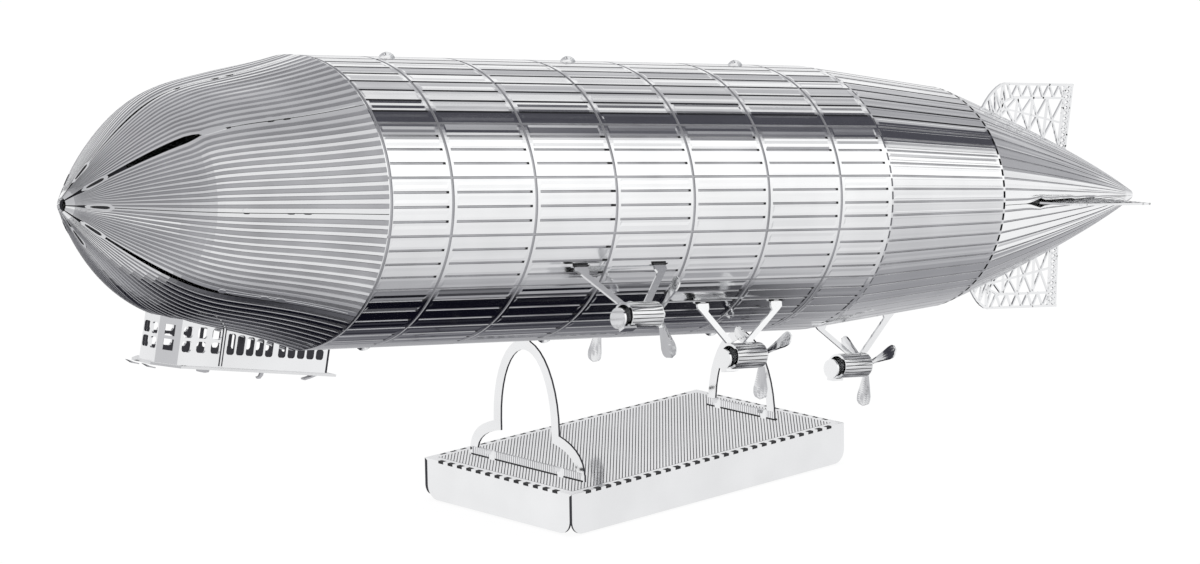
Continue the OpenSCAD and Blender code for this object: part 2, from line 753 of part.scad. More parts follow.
nacelle_disc(nacelle_list[3]);  // nacelle_disc_4
nacelle_disc(nacelle_list[4]);  // nacelle_disc_5
nacelle_back(nacelle_list[0]);  // nacelle_back_1
nacelle_back(nacelle_list[1]);  // nacelle_back_2
nacelle_back(nacelle_list[2]);  // nacelle_back_3
nacelle_back(nacelle_list[3]);  // nacelle_back_4
nacelle_back(nacelle_list[4]);  // nacelle_back_5
nacelle_struts(nacelle_list[0]);  // nacelle_struts_1
nacelle_struts(nacelle_list[1]);  // nacelle_struts_2
nacelle_struts(nacelle_list[2]);  // nacelle_struts_3
nacelle_struts(nacelle_list[3]);  // nacelle_struts_4
nacelle_struts(nacelle_list[4]);  // nacelle_struts_5
propeller(nacelle_list[0], blade_turn[0]);  // propeller_1
propeller(nacelle_list[1], blade_turn[1]);  // propeller_2
propeller(nacelle_list[2], blade_turn[2]);  // propeller_3
propeller(nacelle_list[3], blade_turn[3]);  // propeller_4
propeller(nacelle_list[4], blade_turn[4]);  // propeller_5
base_tray();
front_arch();
rear_arch();
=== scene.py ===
import math
import random

import bpy
import numpy as np
from mathutils import Matrix, Vector


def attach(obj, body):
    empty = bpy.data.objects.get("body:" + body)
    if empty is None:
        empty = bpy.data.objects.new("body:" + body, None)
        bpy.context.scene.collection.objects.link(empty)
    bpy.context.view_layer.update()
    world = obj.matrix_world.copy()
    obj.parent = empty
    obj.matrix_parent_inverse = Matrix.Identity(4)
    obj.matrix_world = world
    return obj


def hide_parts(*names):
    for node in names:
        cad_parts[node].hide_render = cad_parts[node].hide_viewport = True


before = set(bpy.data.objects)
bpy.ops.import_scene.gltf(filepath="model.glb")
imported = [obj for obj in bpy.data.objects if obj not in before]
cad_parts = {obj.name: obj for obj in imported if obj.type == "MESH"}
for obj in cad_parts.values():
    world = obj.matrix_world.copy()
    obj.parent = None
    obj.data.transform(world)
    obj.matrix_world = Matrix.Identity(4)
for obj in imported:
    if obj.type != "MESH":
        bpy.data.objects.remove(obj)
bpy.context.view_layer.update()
AIRSHIP = "airship"
rng = random.Random(7)

# Sizes in millimetres and degrees, the same as in the CAD source
SHEET = 0.25
HULL_R = 15.0
PITCH = math.radians(8.00999)
# The hull's own origin in the row frame, and the middle of the stand
HULL_X, HULL_Z = -44.4550, 37.3313
STAND_X = -4.1065
# Stations on the hull's axis: both ends of its straight part, and the end of its taper
X_MID0, X_MID1, X_TAPER = -8.6, 66.3, 88.3
TAPER_R = 13.0
# One bay between two rings, and one strip between two etched lines
BAY = 11.6
STRIP = 5.625
STRIPS = round(360 / STRIP)
NOSE_LEN, NOSE_HOLE = 29.1, 0.7
CONE_LEN, TAIL_HOLE = 39.2, 0.6
PETALS = 8
PETAL_TURN = 360 / PETALS
NOSE_TURN, FIN_TURN = 3.0, 3.0
BASE_L, BASE_W, BASE_H = 42.4, 23.2, 4.5
ARCH_X = BASE_L / 2 - 4.5
# How far a nacelle's axis hangs from the skin
DROP = 5.85
TUBE_R, TUBE_LEN = 1.4, 4.7
HUB_X = TUBE_LEN / 2 + 1.4 * SHEET + 0.06
# Nacelles: station, turn of the slots from the top, slope of the struts, side, blade turn
NACELLES = [
    (25.2, 250.4, 54, -1, 30),
    (25.2, 109.6, 54, 1, 90),
    (46.9, 229.0, 76, -1, 56),
    (46.9, 131.0, 76, 1, 64),
    (78.8, 180.0, 90, 0, 60),
]
PLACES = ["front_port", "front_starboard", "middle_port", "middle_starboard", "aft"]


# materials

def new_material(name):
    m = bpy.data.materials.new(name)
    m.use_nodes = True
    m.node_tree.nodes.clear()
    return m, m.node_tree.nodes, m.node_tree.links


def metal(name, color, rough, rough_spread, bump, grain_scale, grain_stretch=(1, 1, 1),
          bump_depth=0.00002, tint=0.06):
    """Bare steel: fine wear in its roughness and colour, and a slight waviness of the sheet."""
    m, n, l = new_material(name)
    out = n.new("ShaderNodeOutputMaterial")
    b = n.new("ShaderNodeBsdfPrincipled")
    b.inputs["Metallic"].default_value = 1.0
    l.new(b.outputs[0], out.inputs[0])
    tc = n.new("ShaderNodeTexCoord")
    mp = n.new("ShaderNodeMapping")
    mp.inputs["Scale"].default_value = grain_stretch
    mp.inputs["Rotation"].default_value = (0, PITCH, 0)
    l.new(tc.outputs["Object"], mp.inputs[0])
    fine = n.new("ShaderNodeTexNoise")
    fine.inputs["Scale"].default_value = grain_scale
    fine.inputs["Detail"].default_value = 5
    l.new(mp.outputs[0], fine.inputs["Vector"])
    wide = n.new("ShaderNodeTexNoise")
    wide.inputs["Scale"].default_value = 160
    wide.inputs["Detail"].default_value = 2
    l.new(tc.outputs["Object"], wide.inputs["Vector"])
    rr = n.new("ShaderNodeMapRange")
    rr.inputs["To Min"].default_value = max(0.02, rough - rough_spread)
    rr.inputs["To Max"].default_value = rough + rough_spread
    l.new(fine.outputs["Fac"], rr.inputs["Value"])
    l.new(rr.outputs[0], b.inputs["Roughness"])
    cr = n.new("ShaderNodeValToRGB")
    cr.color_ramp.elements[0].position = 0.3
    cr.color_ramp.elements[0].color = [c * (1 - tint) for c in color] + [1]
    cr.color_ramp.elements[1].position = 0.7
    cr.color_ramp.elements[1].color = list(color) + [1]
    l.new(wide.outputs["Fac"], cr.inputs[0])
    l.new(cr.outputs[0], b.inputs["Base Color"])
    bp = n.new("ShaderNodeBump")
    bp.inputs["Strength"].default_value = bump
    bp.inputs["Distance"].default_value = bump_depth
    l.new(fine.outputs["Fac"], bp.inputs["Height"])
    l.new(bp.outputs[0], b.inputs["Normal"])
    return m


def shade_black(name):
    """Painted shade: near black, for the unlit inside of a slot or hole, or a crease"""
    m, n, l = new_material(name)
    out = n.new("ShaderNodeOutputMaterial")
    b = n.new("ShaderNodeBsdfPrincipled")
    b.inputs["Roughness"].default_value = 0.6
    tex = n.new("ShaderNodeTexNoise")
    tex.inputs["Scale"].default_value = 3000
    ramp = n.new("ShaderNodeValToRGB")
    ramp.color_ramp.elements[0].color = (0.008, 0.008, 0.01, 1)
    ramp.color_ramp.elements[1].color = (0.03, 0.03, 0.034, 1)
    l.new(tex.outputs["Fac"], ramp.inputs[0])
    l.new(ramp.outputs[0], b.inputs["Base Color"])
    l.new(b.outputs[0], out.inputs[0])
    return m


# Unlit steel is for faces and grooves that no light reaches
MATERIALS = [
    metal("polished_steel", (0.90, 0.905, 0.91), 0.09, 0.03, 0.12, 900, (0.12, 1, 1)),
    metal("etched_steel", (0.52, 0.522, 0.54), 0.36, 0.08, 0.5, 5200, bump_depth=0.00003, tint=0.25),
    shade_black("shade_black"),
    metal("satin_steel", (0.80, 0.805, 0.81), 0.2, 0.05, 0.2, 2400),
    metal("unlit_steel", (0.055, 0.055, 0.062), 0.4, 0.08, 0.2, 2400),
    metal("blade_steel", (0.86, 0.865, 0.87), 0.08, 0.02, 0.03, 900),
]
POLISHED, ETCHED, PAINTED_SHADE, SATIN, UNLIT, BLADE = range(len(MATERIALS))


# mesh helpers

def add_mesh(name, verts, faces, mat_ids, body=AIRSHIP, slot="polished_steel", replaces=()):
    """verts in millimetres, in the row frame. mat_ids is one material's number, or one for each face."""
    me = bpy.data.meshes.new(name)
    me.from_pydata([tuple(v * 0.001 for v in p) for p in verts], [], [tuple(f) for f in faces])
    for mat in MATERIALS:
        me.materials.append(mat)
    ids = mat_ids if hasattr(mat_ids, "__len__") else [mat_ids] * len(faces)
    me.polygons.foreach_set("material_index", list(ids))
    me.polygons.foreach_set("use_smooth", [False] * len(faces))
    me.validate()
    me.update()
    o = bpy.data.objects.new(name, me)
    bpy.context.scene.collection.objects.link(o)
    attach(o, body)
    if replaces:
        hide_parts(*replaces)
    return o


def to_row(p):
    """Points in the hull's own frame to the row frame, millimetres"""
    x, y, z = p[..., 0], p[..., 1], p[..., 2]
    return np.stack([x * math.cos(PITCH) + z * math.sin(PITCH) + HULL_X, y,
                     -x * math.sin(PITCH) + z * math.cos(PITCH) + HULL_Z], -1)


def polar(x, r, turn):
    """Points at radius r, their turn in degrees from the top towards starboard"""
    t = np.radians(turn)
    return np.stack([x, r * np.sin(t), r * np.cos(t)], -1)


def shell(name, base, normal, turns, depth, mats, offset, **kw):
    """Closed sheet over rows of [x, r] with unit normals [nx, nr]. depth[row, col] presses the outside in,
    and offset[row, col] moves it out.
    mats[row, col] is each outer face's material. turns is one list, or one per row."""
    rows, cols = depth.shape
    turns = np.broadcast_to(np.asarray(turns, float), (rows, cols))
    x = base[:, 0:1] - normal[:, 0:1] * depth
    r = base[:, 1:2] - normal[:, 1:2] * depth + offset
    inside = np.full_like(depth, SHEET)
    xi = base[:, 0:1] - normal[:, 0:1] * inside
    ri = base[:, 1:2] - normal[:, 1:2] * inside
    outer = to_row(polar(x, r, turns)).reshape(-1, 3)
    inner = to_row(polar(xi, ri, turns)).reshape(-1, 3)
    nv = rows * cols
    faces, ids = [], []
    for i in range(rows - 1):
        for j in range(cols - 1):
            a = i * cols + j
            faces.append((a, a + cols, a + cols + 1, a + 1))
            ids.append(mats[i, j])
            faces.append((nv + a, nv + a + 1, nv + a + cols + 1, nv + a + cols))
            ids.append(SATIN)
    for i in range(rows - 1):
        for j in (0, cols - 1):
            a, b = i * cols + j, (i + 1) * cols + j
            faces.append((a, nv + a, nv + b, b) if j == 0 else (a, b, nv + b, nv + a))
            ids.append(SATIN)
    for j in range(cols - 1):
        for i in (0, rows - 1):
            a, b = i * cols + j, i * cols + j + 1
            faces.append((a, b, nv + b, nv + a) if i == 0 else (a, nv + a, nv + b, b))
            ids.append(SATIN)
    return add_mesh(name, np.concatenate([outer, inner]), faces, ids, **kw)


def bezier(c, t):
    c = np.asarray(c, float)
    t = np.asarray(t, float)[:, None]
    return c[0] * (1 - t) ** 3 + 3 * c[1] * t * (1 - t) ** 2 + 3 * c[2] * t * t * (1 - t) + c[3] * t ** 3


def curve_normals(pts):
    g = np.gradient(pts, axis=0)
    nrm = np.stack([-g[:, 1], g[:, 0]], -1) * np.sign(g[:, 0:1])
    return nrm / np.linalg.norm(nrm, axis=1, keepdims=True)


def plate(points, y0, y1):
    """Flat sheet with its outline in xz, from y0 to y1"""
    m = len(points)
    verts = [(x, y, z) for y in (y0, y1) for x, z in points]
    faces = [tuple(range(m)), tuple(range(2 * m - 1, m - 1, -1))]
    return verts, faces + [(k, m + k, m + (k + 1) % m, (k + 1) % m) for k in range(m)]


def join(parts):
    """One mesh of several pairs of vertices and faces"""
    verts, faces = [], []
    for v, f in parts:
        faces += [tuple(len(verts) + i for i in face) for face in f]
        verts += list(v)
    return np.array(verts, float), faces


# hull

# Half the width of an etched line and of a ring line, at the floor and at the top of its walls
GA, GB = 0.08, 0.13
RING_A, RING_B = 0.13, 0.19
DEEP = 0.08
# Short lines stop this far from a ring, and end in a hole this long, painted as shade
SHORT_GAP, HOLE_LEN = 0.55, 0.3
# A bay's sheet stays even this far from its ends
EVEN_END = 1.3
# Columns across a strip that carry its unevenness
MIDS = (0.27, 0.5, 0.73)
# How far the middle of a flat strip lies inside the round hull
SAG = HULL_R * (1 - math.cos(math.radians(STRIP / 2)))
# Lines whose normals point up more than this have unlit floors
UPPER = 0.66


def line_turns(t0, t1):
    """Etched lines between two turns, each (turn, runs through the rings or not). Every fourth does."""
    every = 4 * STRIP
    out = []
    for k in range(STRIPS + 1):
        t = k * STRIP
        if t0 + 0.5 < t < t1 - 0.5:
            d = (min(t, 360 - t) - STRIP) % every
            out.append((t, min(d, every - d) < 0.1))
    return out


def line_floor(turn):
    """The material of an etched line's floor"""
    return UNLIT if math.cos(math.radians(turn)) > UPPER else ETCHED


def columns(t0, t1, lines, r, dashes=False):
    """Every column of a skin: (turn, kind, number of its line or strip, flag). The flag of a line or dash is
    whether it is pressed in there, and that of a mid column its place across the strip."""
    cols = [(t0, "edge", 0, 0)]
    marks = [t0] + [t for t, _ in lines] + [t1]
    for i, (t, _) in enumerate(lines):
        for d in (-GB, -GA, GA, GB):
            cols.append((t + math.degrees(d / r), "line", i, abs(d) < GB))
    for i, (a, b) in enumerate(zip(marks[:-1], marks[1:])):
        for f in MIDS:
            cols.append((a + (b - a) * f, "mid", i, f))
        if dashes:
            for f in (0.2, 0.24, 0.76, 0.8):
                cols.append((a + (b - a) * f, "dash", i, 0.22 < f < 0.78))
    cols.append((t1, "edge", 0, 0))
    return sorted(cols, key=lambda c: c[0])


def waves(count, bays):
    """Small unevenness of the hand-rolled sheet, constant along a bay"""
    return {(i, f, b): rng.gauss(0, 0.009) - 0.45 * SAG * (1 if f == 0.5 else 0.78)
            for i in range(count + 2) for f in MIDS for b in range(bays)}


def hull_half(name, t0, t1, node):
    """Half of the straight hull: etched lines, and ring lines between its bays"""
    inner_rings = [BAY * k for k in range(6)]
    fore_ring = X_MID0 + 0.3
    rings = [fore_ring] + inner_rings
    lines = line_turns(t0, t1)
    cols = columns(t0, t1, lines, HULL_R)
    edges = [X_MID0] + inner_rings + [X_MID1]
    xs = {X_MID0, X_MID1}
    for xe in edges:
        for d in (RING_A, RING_B, SHORT_GAP, SHORT_GAP + 0.05, SHORT_GAP + HOLE_LEN, EVEN_END):
            xs |= {round(x, 4) for x in (xe - d, xe + d) if X_MID0 < x < X_MID1}
    # The foremost ring lies just inside the edge, and has rows of its own
    xs = {x for x in xs if not X_MID0 + 1e-6 < x < fore_ring + RING_B}
    xs |= {round(fore_ring + d, 4) for d in (-RING_B, -0.17, -RING_A, RING_A, RING_B)}
    xs = np.array(sorted(xs))
    rows, ncol = len(xs), len(cols)
    ring_row = [min(abs(x - xr) for xr in rings) <= RING_A + 1e-6 for x in xs]
    near = [min(abs(x - e) for e in edges) for x in xs]
    bay = [sum(x > xr for xr in inner_rings) for x in xs]
    uneven = waves(len(lines), len(edges))
    depth, offset = np.zeros((rows, ncol)), np.zeros((rows, ncol))
    for j, (t, kind, i, flag) in enumerate(cols):
        for k in range(rows):
            deep = kind == "line" and flag and (lines[i][1] or near[k] > SHORT_GAP + 0.04)
            if ring_row[k] or deep:
                depth[k, j] = DEEP
            elif kind == "mid" and near[k] > SHORT_GAP + 0.2:
                offset[k, j] = uneven[i, flag, bay[k]]
    mats = np.zeros((rows - 1, ncol - 1), int)
    for k in range(rows - 1):
        ring_cell = min(abs((xs[k] + xs[k + 1]) / 2 - xr) for xr in rings) < RING_B
        to_end = min(e - xs[k] for e in edges if e > xs[k])
        for j in range(ncol - 1):
            in_line = cols[j][1] == cols[j + 1][1] == "line" and cols[j][2] == cols[j + 1][2]
            if ring_cell:
                mats[k, j] = ETCHED
            elif in_line:
                if depth[k:k + 2, j:j + 2].max() > 0:
                    mats[k, j] = line_floor(cols[j][0])
                short = not lines[cols[j][2]][1]
                # The hole at a short line's end is painted shade
                if short and SHORT_GAP < to_end < SHORT_GAP + HOLE_LEN + 0.01:
                    mats[k, j] = PAINTED_SHADE
    base = np.stack([xs, np.full(rows, HULL_R)], -1)
    nrm = np.stack([np.zeros(rows), np.ones(rows)], -1)
    return shell(name, base, nrm, [c[0] for c in cols], depth, mats, offset, replaces=[node])


hull_half("skin_starboard", 0, 180, "hull_skin_starboard")
hull_half("skin_port", 180, 360, "hull_skin_port")


def tail_half(name, t0, t1, node):
    """Half of the tapered hull, which has no ring lines but a row of dashes at each end"""
    lines = line_turns(t0, t1)
    cols = columns(t0, t1, lines, HULL_R, dashes=True)
    n = len(cols)
    dash0, dash1 = (X_MID1 + 0.08, X_MID1 + 0.3), (X_TAPER - 0.36, X_TAPER - 0.06)
    fore_dash, aft_dash = 0.12, 0.22
    even_to, even_from = 67.2, X_TAPER - 1.0
    xs = np.array(sorted([X_MID1, X_MID1 + 0.04, X_MID1 + 0.34, even_to, even_from, X_TAPER - 0.4,
                          X_TAPER - 0.02, X_TAPER, *dash0, *dash1]))
    rows = len(xs)
    r = HULL_R - (HULL_R - TAPER_R) * (xs - X_MID1) / (X_TAPER - X_MID1)
    sl = (HULL_R - TAPER_R) / (X_TAPER - X_MID1)
    nrm = np.tile(np.array([sl, 1]) / math.hypot(sl, 1), (rows, 1))
    uneven = waves(len(lines), 1)
    depth, offset = np.zeros((rows, n)), np.zeros((rows, n))
    for j, (t, kind, i, flag) in enumerate(cols):
        for k in range(rows):
            if kind == "line" and flag and 0.5 < xs[k] - X_MID1 < X_TAPER - X_MID1 - 0.5:
                depth[k, j] = DEEP
            inside = kind == "mid" or (kind == "dash" and flag)
            if inside and min(abs(xs[k] - d) for d in dash1) < 1e-6:
                depth[k, j] = aft_dash
            elif inside and min(abs(xs[k] - d) for d in dash0) < 1e-6:
                depth[k, j] = fore_dash
            elif kind == "mid" and even_to <= xs[k] <= even_from:
                offset[k, j] = uneven[i, flag, 0]
    mats = np.zeros((rows - 1, n - 1), int)
    for k in range(rows - 1):
        for j in range(n - 1):
            deepest = depth[k:k + 2, j:j + 2].max()
            # The deeper aft dashes are painted shade
            if deepest == aft_dash:
                mats[k, j] = PAINTED_SHADE
            elif deepest > 0:
                mats[k, j] = line_floor(cols[j][0]) if deepest == DEEP else ETCHED
    base = np.stack([xs, r], -1)
    return shell(name, base, nrm, [c[0] for c in cols], depth, mats, offset, replaces=[node])


tail_half("tail_starboard", 0, 180, "tail_skin_starboard")
tail_half("tail_port", 180, 360, "tail_skin_port")


# nose petals

X_NOSE = X_MID0 - NOSE_LEN
NOSE = [[X_MID0, HULL_R], [X_MID0 - 0.567 * NOSE_LEN, 0.665 * HULL_R],
        [X_NOSE + 0.425 * NOSE_LEN, 0.98 * HULL_R], [X_NOSE, NOSE_HOLE]]
# Slots between two petals, by boundary (0 at the top): widest half gap, and where from root to tip it
# begins, is widest and ends
NOSE_SLOTS = {
    0: (0.16, 0.4, 0.7, 0.93),
    1: (0.16, 0.4, 0.7, 0.93),
    3: (0.16, 0.4, 0.7, 0.93),
    5: (0.2, 0.1, 0.72, 1.06),
    7: (0.38, 0.57, 0.66, 1.08),
}


def bump(t, a, b, c):
    """0 outside a..c, 1 at b"""
    if t <= a or t >= c:
        return 0.0
    u = (t - a) / (b - a) if t < b else (c - t) / (c - b)
    return u * u * (3 - 2 * u)


def nose_gap(b, t):
    """Half gap in millimetres at boundary b and place t from root to tip"""
    g = 0.035 + 0.14 * bump(t, 0.9, 0.955, 0.995)
    if b in NOSE_SLOTS:
        widest, *places = NOSE_SLOTS[b]
        g += widest * bump(t, *places)
    return g


def nose_petal(i):
    t = np.concatenate([[0, 0.012], np.linspace(0.03, 0.86, 26), np.linspace(0.885, 1, 8)])
    base = bezier(NOSE, t)
    nrm = curve_normals(base)
    rows = len(t)
    # Etched bands run from root to tip, and their edges are slightly uneven
    bands, edge, wall, groove = 12, 0.03, 0.006, 0.05
    fr = [0.0]
    kinds = [0]
    pitch = (1 - 2 * edge) / bands
    for k in range(bands):
        a = edge + (k + 0.27 + rng.uniform(-0.05, 0.05)) * pitch
        b = edge + (k + 0.73 + rng.uniform(-0.05, 0.05)) * pitch
        fr += [a - wall, a, b, b + wall]
        kinds += [0, 1, 1, 0]
    fr.append(1.0)
    kinds.append(0)
    fr = np.array(fr)
    n = len(fr)
    lo, hi = NOSE_TURN + PETAL_TURN * i, NOSE_TURN + PETAL_TURN * (i + 1)
    turns = np.zeros((rows, n))
    depth = np.zeros((rows, n))
    # The topmost petal stands a little prouder than the others
    prouder = 0.7 if i == 0 else 0
    puff = np.outer([prouder * bump(v, -0.1, 0.2, 0.92) for v in t], np.sin(math.pi * fr))
    for k in range(rows):
        g0 = math.degrees(nose_gap(i, t[k]) / base[k, 1])
        g1 = math.degrees(nose_gap((i + 1) % PETALS, t[k]) / base[k, 1])
        turns[k] = lo + g0 + (hi - lo - g0 - g1) * fr
        if 0 < k < rows - 2:
            depth[k] = groove * np.array(kinds)
    mats = np.zeros((rows - 1, n - 1), int)
    for k in range(rows - 1):
        for j in range(n - 1):
            if depth[k:k + 2, j:j + 2].max() > 0:
                mats[k, j] = ETCHED
    return shell("nose_leaf_%d" % (i + 1), base, nrm, turns, depth, mats, puff,
                 replaces=["nose_petal_%d" % (i + 1)])


for i in range(PETALS):
    nose_petal(i)


# tail cone

X_TAIL = X_TAPER + CONE_LEN
CONE = [[X_TAPER, TAPER_R], [X_TAPER + 0.38 * CONE_LEN, 0.695 * TAPER_R],
        [X_TAPER + 0.76 * CONE_LEN, 0.347 * TAPER_R], [X_TAIL, TAIL_HOLE]]
FIN_X0, FIN_ROOT, FIN_SPAN, FIN_CORNER = X_TAPER + 9.6, 16.2, 13.6, 4.6


def tail_bound(i):
    """Turn of the boundary before petal i; the port ones are turned a little"""
    return PETAL_TURN * i + (FIN_TURN if 4 <= i < 8 else 0)


def cone_gap(b, x):
    """Half gap at boundary b and station x. A fin comes out of every second one, through a slot"""
    g = 0.03
    if b % 2 == 0:
        g += 0.16 if FIN_X0 - 0.3 < x < FIN_X0 + FIN_ROOT + 0.5 else 0
        g += 0.12 if FIN_X0 - 0.3 < x < FIN_X0 + 9 else 0
        g += 0.34 * bump(x, FIN_X0 - 3.6, FIN_X0 - 1.0, FIN_X0 + 1.8)
    return g


def cone_petal(i):
    t = np.concatenate([[0, 0.01], np.linspace(0.04, 1, 34)])
    base = bezier(CONE, t)
    nrm = curve_normals(base)
    rows = len(t)
    lo, hi = tail_bound(i), tail_bound(i + 1)
    lines = [(k * STRIP, True) for k in range(STRIPS) if lo + 2.2 < k * STRIP < hi - 2.2]
    cols = columns(lo, hi, lines, TAPER_R)
    fr = (np.array([c[0] for c in cols]) - lo) / (hi - lo)
    uneven = waves(len(lines), 1)
    n = len(cols)
    turns, depth, offset = np.zeros((rows, n)), np.zeros((rows, n)), np.zeros((rows, n))
    for k in range(rows):
        g0 = math.degrees(cone_gap(i, base[k, 0]) / base[k, 1])
        g1 = math.degrees(cone_gap((i + 1) % PETALS, base[k, 0]) / base[k, 1])
        # Only the strips beside a boundary give way to its gap
        own, other = np.clip(1 - fr * 9, 0, 1), np.clip(1 - (1 - fr) * 9, 0, 1)
        turns[k] = lo + (hi - lo) * fr + g0 * own - g1 * other
        # Lines and unevenness fade towards the tip
        fade = min(1, base[k, 1] / 4)
        if 0 < k < rows - 4:
            depth[k] = [DEEP * fade if c[1] == "line" and c[3] else 0 for c in cols]
            offset[k] = [uneven[c[2], c[3], 0] * fade if c[1] == "mid" else 0 for c in cols]
    mats = np.zeros((rows - 1, n - 1), int)
    for k in range(rows - 1):
        for j in range(n - 1):
            if depth[k:k + 2, j:j + 2].max() > 0:
                mats[k, j] = ETCHED
    return shell("tail_leaf_%d" % (i + 1), base, nrm, turns, depth, mats, offset,
                 replaces=["tail_petal_%d" % (i + 1)])


for i in range(PETALS):
    cone_petal(i)


# fins

def cone_r(x):
    pts = bezier(CONE, np.linspace(0, 1, 60))
    return float(np.interp(x, pts[:, 0], pts[:, 1]))


def leading_edge(t):
    return bezier([[FIN_X0, cone_r(FIN_X0)], [FIN_X0 + 0.15 * FIN_CORNER, FIN_SPAN * 0.86],
                   [FIN_X0 + 0.5 * FIN_CORNER, FIN_SPAN], [FIN_X0 + FIN_CORNER, FIN_SPAN]], t)


# Faces of a bar's box: its corners count by end, then by edge, then by side of the sheet
BOX_FACES = [(0, 1, 3, 2), (4, 6, 7, 5), (0, 4, 5, 1), (2, 3, 7, 6), (0, 2, 6, 4), (1, 5, 7, 3)]


def fin(name, i):
    x1 = FIN_X0 + FIN_ROOT
    lead = leading_edge(np.linspace(0, 1, 9))
    bars = []

    def bar(p, q, w):
        bars.append((p, q, w))

    def root(x):
        return cone_r(x) - 1.0

    def outer(x):
        return float(np.interp(x, lead[:, 0], lead[:, 1])) if x < FIN_X0 + FIN_CORNER else FIN_SPAN

    rim = 0.32
    for a, b in zip(lead[:-1], lead[1:]):
        bar(tuple(a), tuple(b), rim)
    bar((FIN_X0 + FIN_CORNER, FIN_SPAN - 0.12), (x1 + 0.3, FIN_SPAN - 0.12), rim)
    bar((x1 + 0.18, FIN_SPAN), (x1 - 0.1, root(x1)), rim)
    # The rudder's front edge
    rud = x1 - 1.25
    bar((rud + 0.15, FIN_SPAN), (rud - 0.1, root(rud)), 0.3)
    # Band along the outer edge, with struts that lean to and fro
    band = 1.75
    ins = [(FIN_X0 + 1.9, cone_r(FIN_X0 + 1.9)), (FIN_X0 + 2.6, 9.6), (FIN_X0 + 4.0, FIN_SPAN - band - 0.5),
           (FIN_X0 + 5.6, FIN_SPAN - band), (rud, FIN_SPAN - band)]
    for a, b in zip(ins[:-1], ins[1:]):
        bar(a, b, 0.26)
    top = [FIN_X0 + 4.2 + 0.98 * k for k in range(12)]
    for k, x in enumerate(top[:-1]):
        if x > rud:
            break
        ends = [FIN_SPAN - 0.1, FIN_SPAN - band]
        if k % 2:
            ends.reverse()
        bar((x, ends[0]), (min(top[k + 1], rud), ends[1]), 0.24)
    # The same along the leading edge
    lp = leading_edge([0.1, 0.34, 0.58, 0.82])
    ip = [(FIN_X0 + 2.1, 8.9), (FIN_X0 + 2.6, 9.6), (FIN_X0 + 3.3, 10.6),
          (FIN_X0 + 4.2, FIN_SPAN - band - 0.4)]
    for k in range(4):
        bar(tuple(lp[k]), ip[k], 0.24)
        if k < 3:
            bar(ip[k], tuple(lp[k + 1]), 0.24)
    # Uprights and crossed braces inside the band
    ups = [FIN_X0 + 3.4, FIN_X0 + 6.2, FIN_X0 + 9.0, FIN_X0 + 11.8, rud]
    for x in ups[:-1]:
        bar((x, root(x)), (x + 0.25, min(outer(x), FIN_SPAN) - band), 0.26)
    for a, b in zip(ups[:-1], ups[1:]):
        hi_a, hi_b = min(outer(a), FIN_SPAN) - band, FIN_SPAN - band
        bar((a, cone_r(a) + 0.1), (b, hi_b), 0.22)
        bar((a, hi_a), (b, cone_r(b) + 0.1), 0.22)
        bar((a, (cone_r(a) + hi_a) / 2), (b, (cone_r(b) + hi_b) / 2), 0.22)
    # Close lattice of the rudder
    z, z_top = root(x1) + 0.3, FIN_SPAN - 0.2
    step = 0.66
    while z < z_top - 0.3:
        z_next = min(z + step, z_top)
        bar((rud, z), (x1, z_next), 0.19)
        bar((rud, z_next), (x1, z), 0.19)
        z += step
    # Foot of the fin, inside the cone
    xs = np.linspace(FIN_X0, x1, 7)
    for a, b in zip(xs[:-1], xs[1:]):
        bar((a, cone_r(a) - 0.45), (b, cone_r(b) - 0.45), 1.1)
    verts, faces = [], []
    t = math.radians(tail_bound(i))
    for k, (p, q, w) in enumerate(bars):
        p, q = np.array(p, float), np.array(q, float)
        d = (q - p) / max(1e-6, np.linalg.norm(q - p))
        s = np.array([-d[1], d[0]]) * w / 2
        e = d * min(w, 0.26) * 0.4
        # Bars differ in thickness by a hair, so that faces that cross don't share a plane
        th = SHEET / 2 - 0.0015 * (k % 7)
        base = len(verts)
        for c in (p - e + s, p - e - s, q + e + s, q + e - s):
            for y in (-th, th):
                r = min(c[1], FIN_SPAN)
                # The fin's plane stands at turn t, and y is across it
                verts.append((c[0], r * math.sin(t) + y * math.cos(t), r * math.cos(t) - y * math.sin(t)))
        faces += [tuple(base + v for v in f) for f in BOX_FACES]
    v = to_row(np.array(verts))
    return add_mesh(name, v, faces, POLISHED, slot="etched_steel", replaces=["fin_" + name.split("_")[0]])


for nm, i in (("upper", 0), ("starboard", 2), ("lower", 4), ("port", 6)):
    fin(nm + "_fin_lattice", i)


# nacelles and propellers

def skin_r(x):
    return HULL_R if x < X_MID1 else HULL_R - (HULL_R - TAPER_R) * (x - X_MID1) / (X_TAPER - X_MID1)


def nacelle_to_row(nc, p):
    """Points in a nacelle's own frame to the row frame"""
    x0, turn, hang, side = nc[:4]
    t = math.radians(turn)
    sy, sz = skin_r(x0) * math.sin(t), skin_r(x0) * math.cos(t)
    a = math.radians(side * (90 - hang))
    y, z = p[:, 1], p[:, 2] - DROP
    return to_row(np.stack([p[:, 0] + x0, sy + y * math.cos(a) - z * math.sin(a),
                            sz + y * math.sin(a) + z * math.cos(a)], -1))


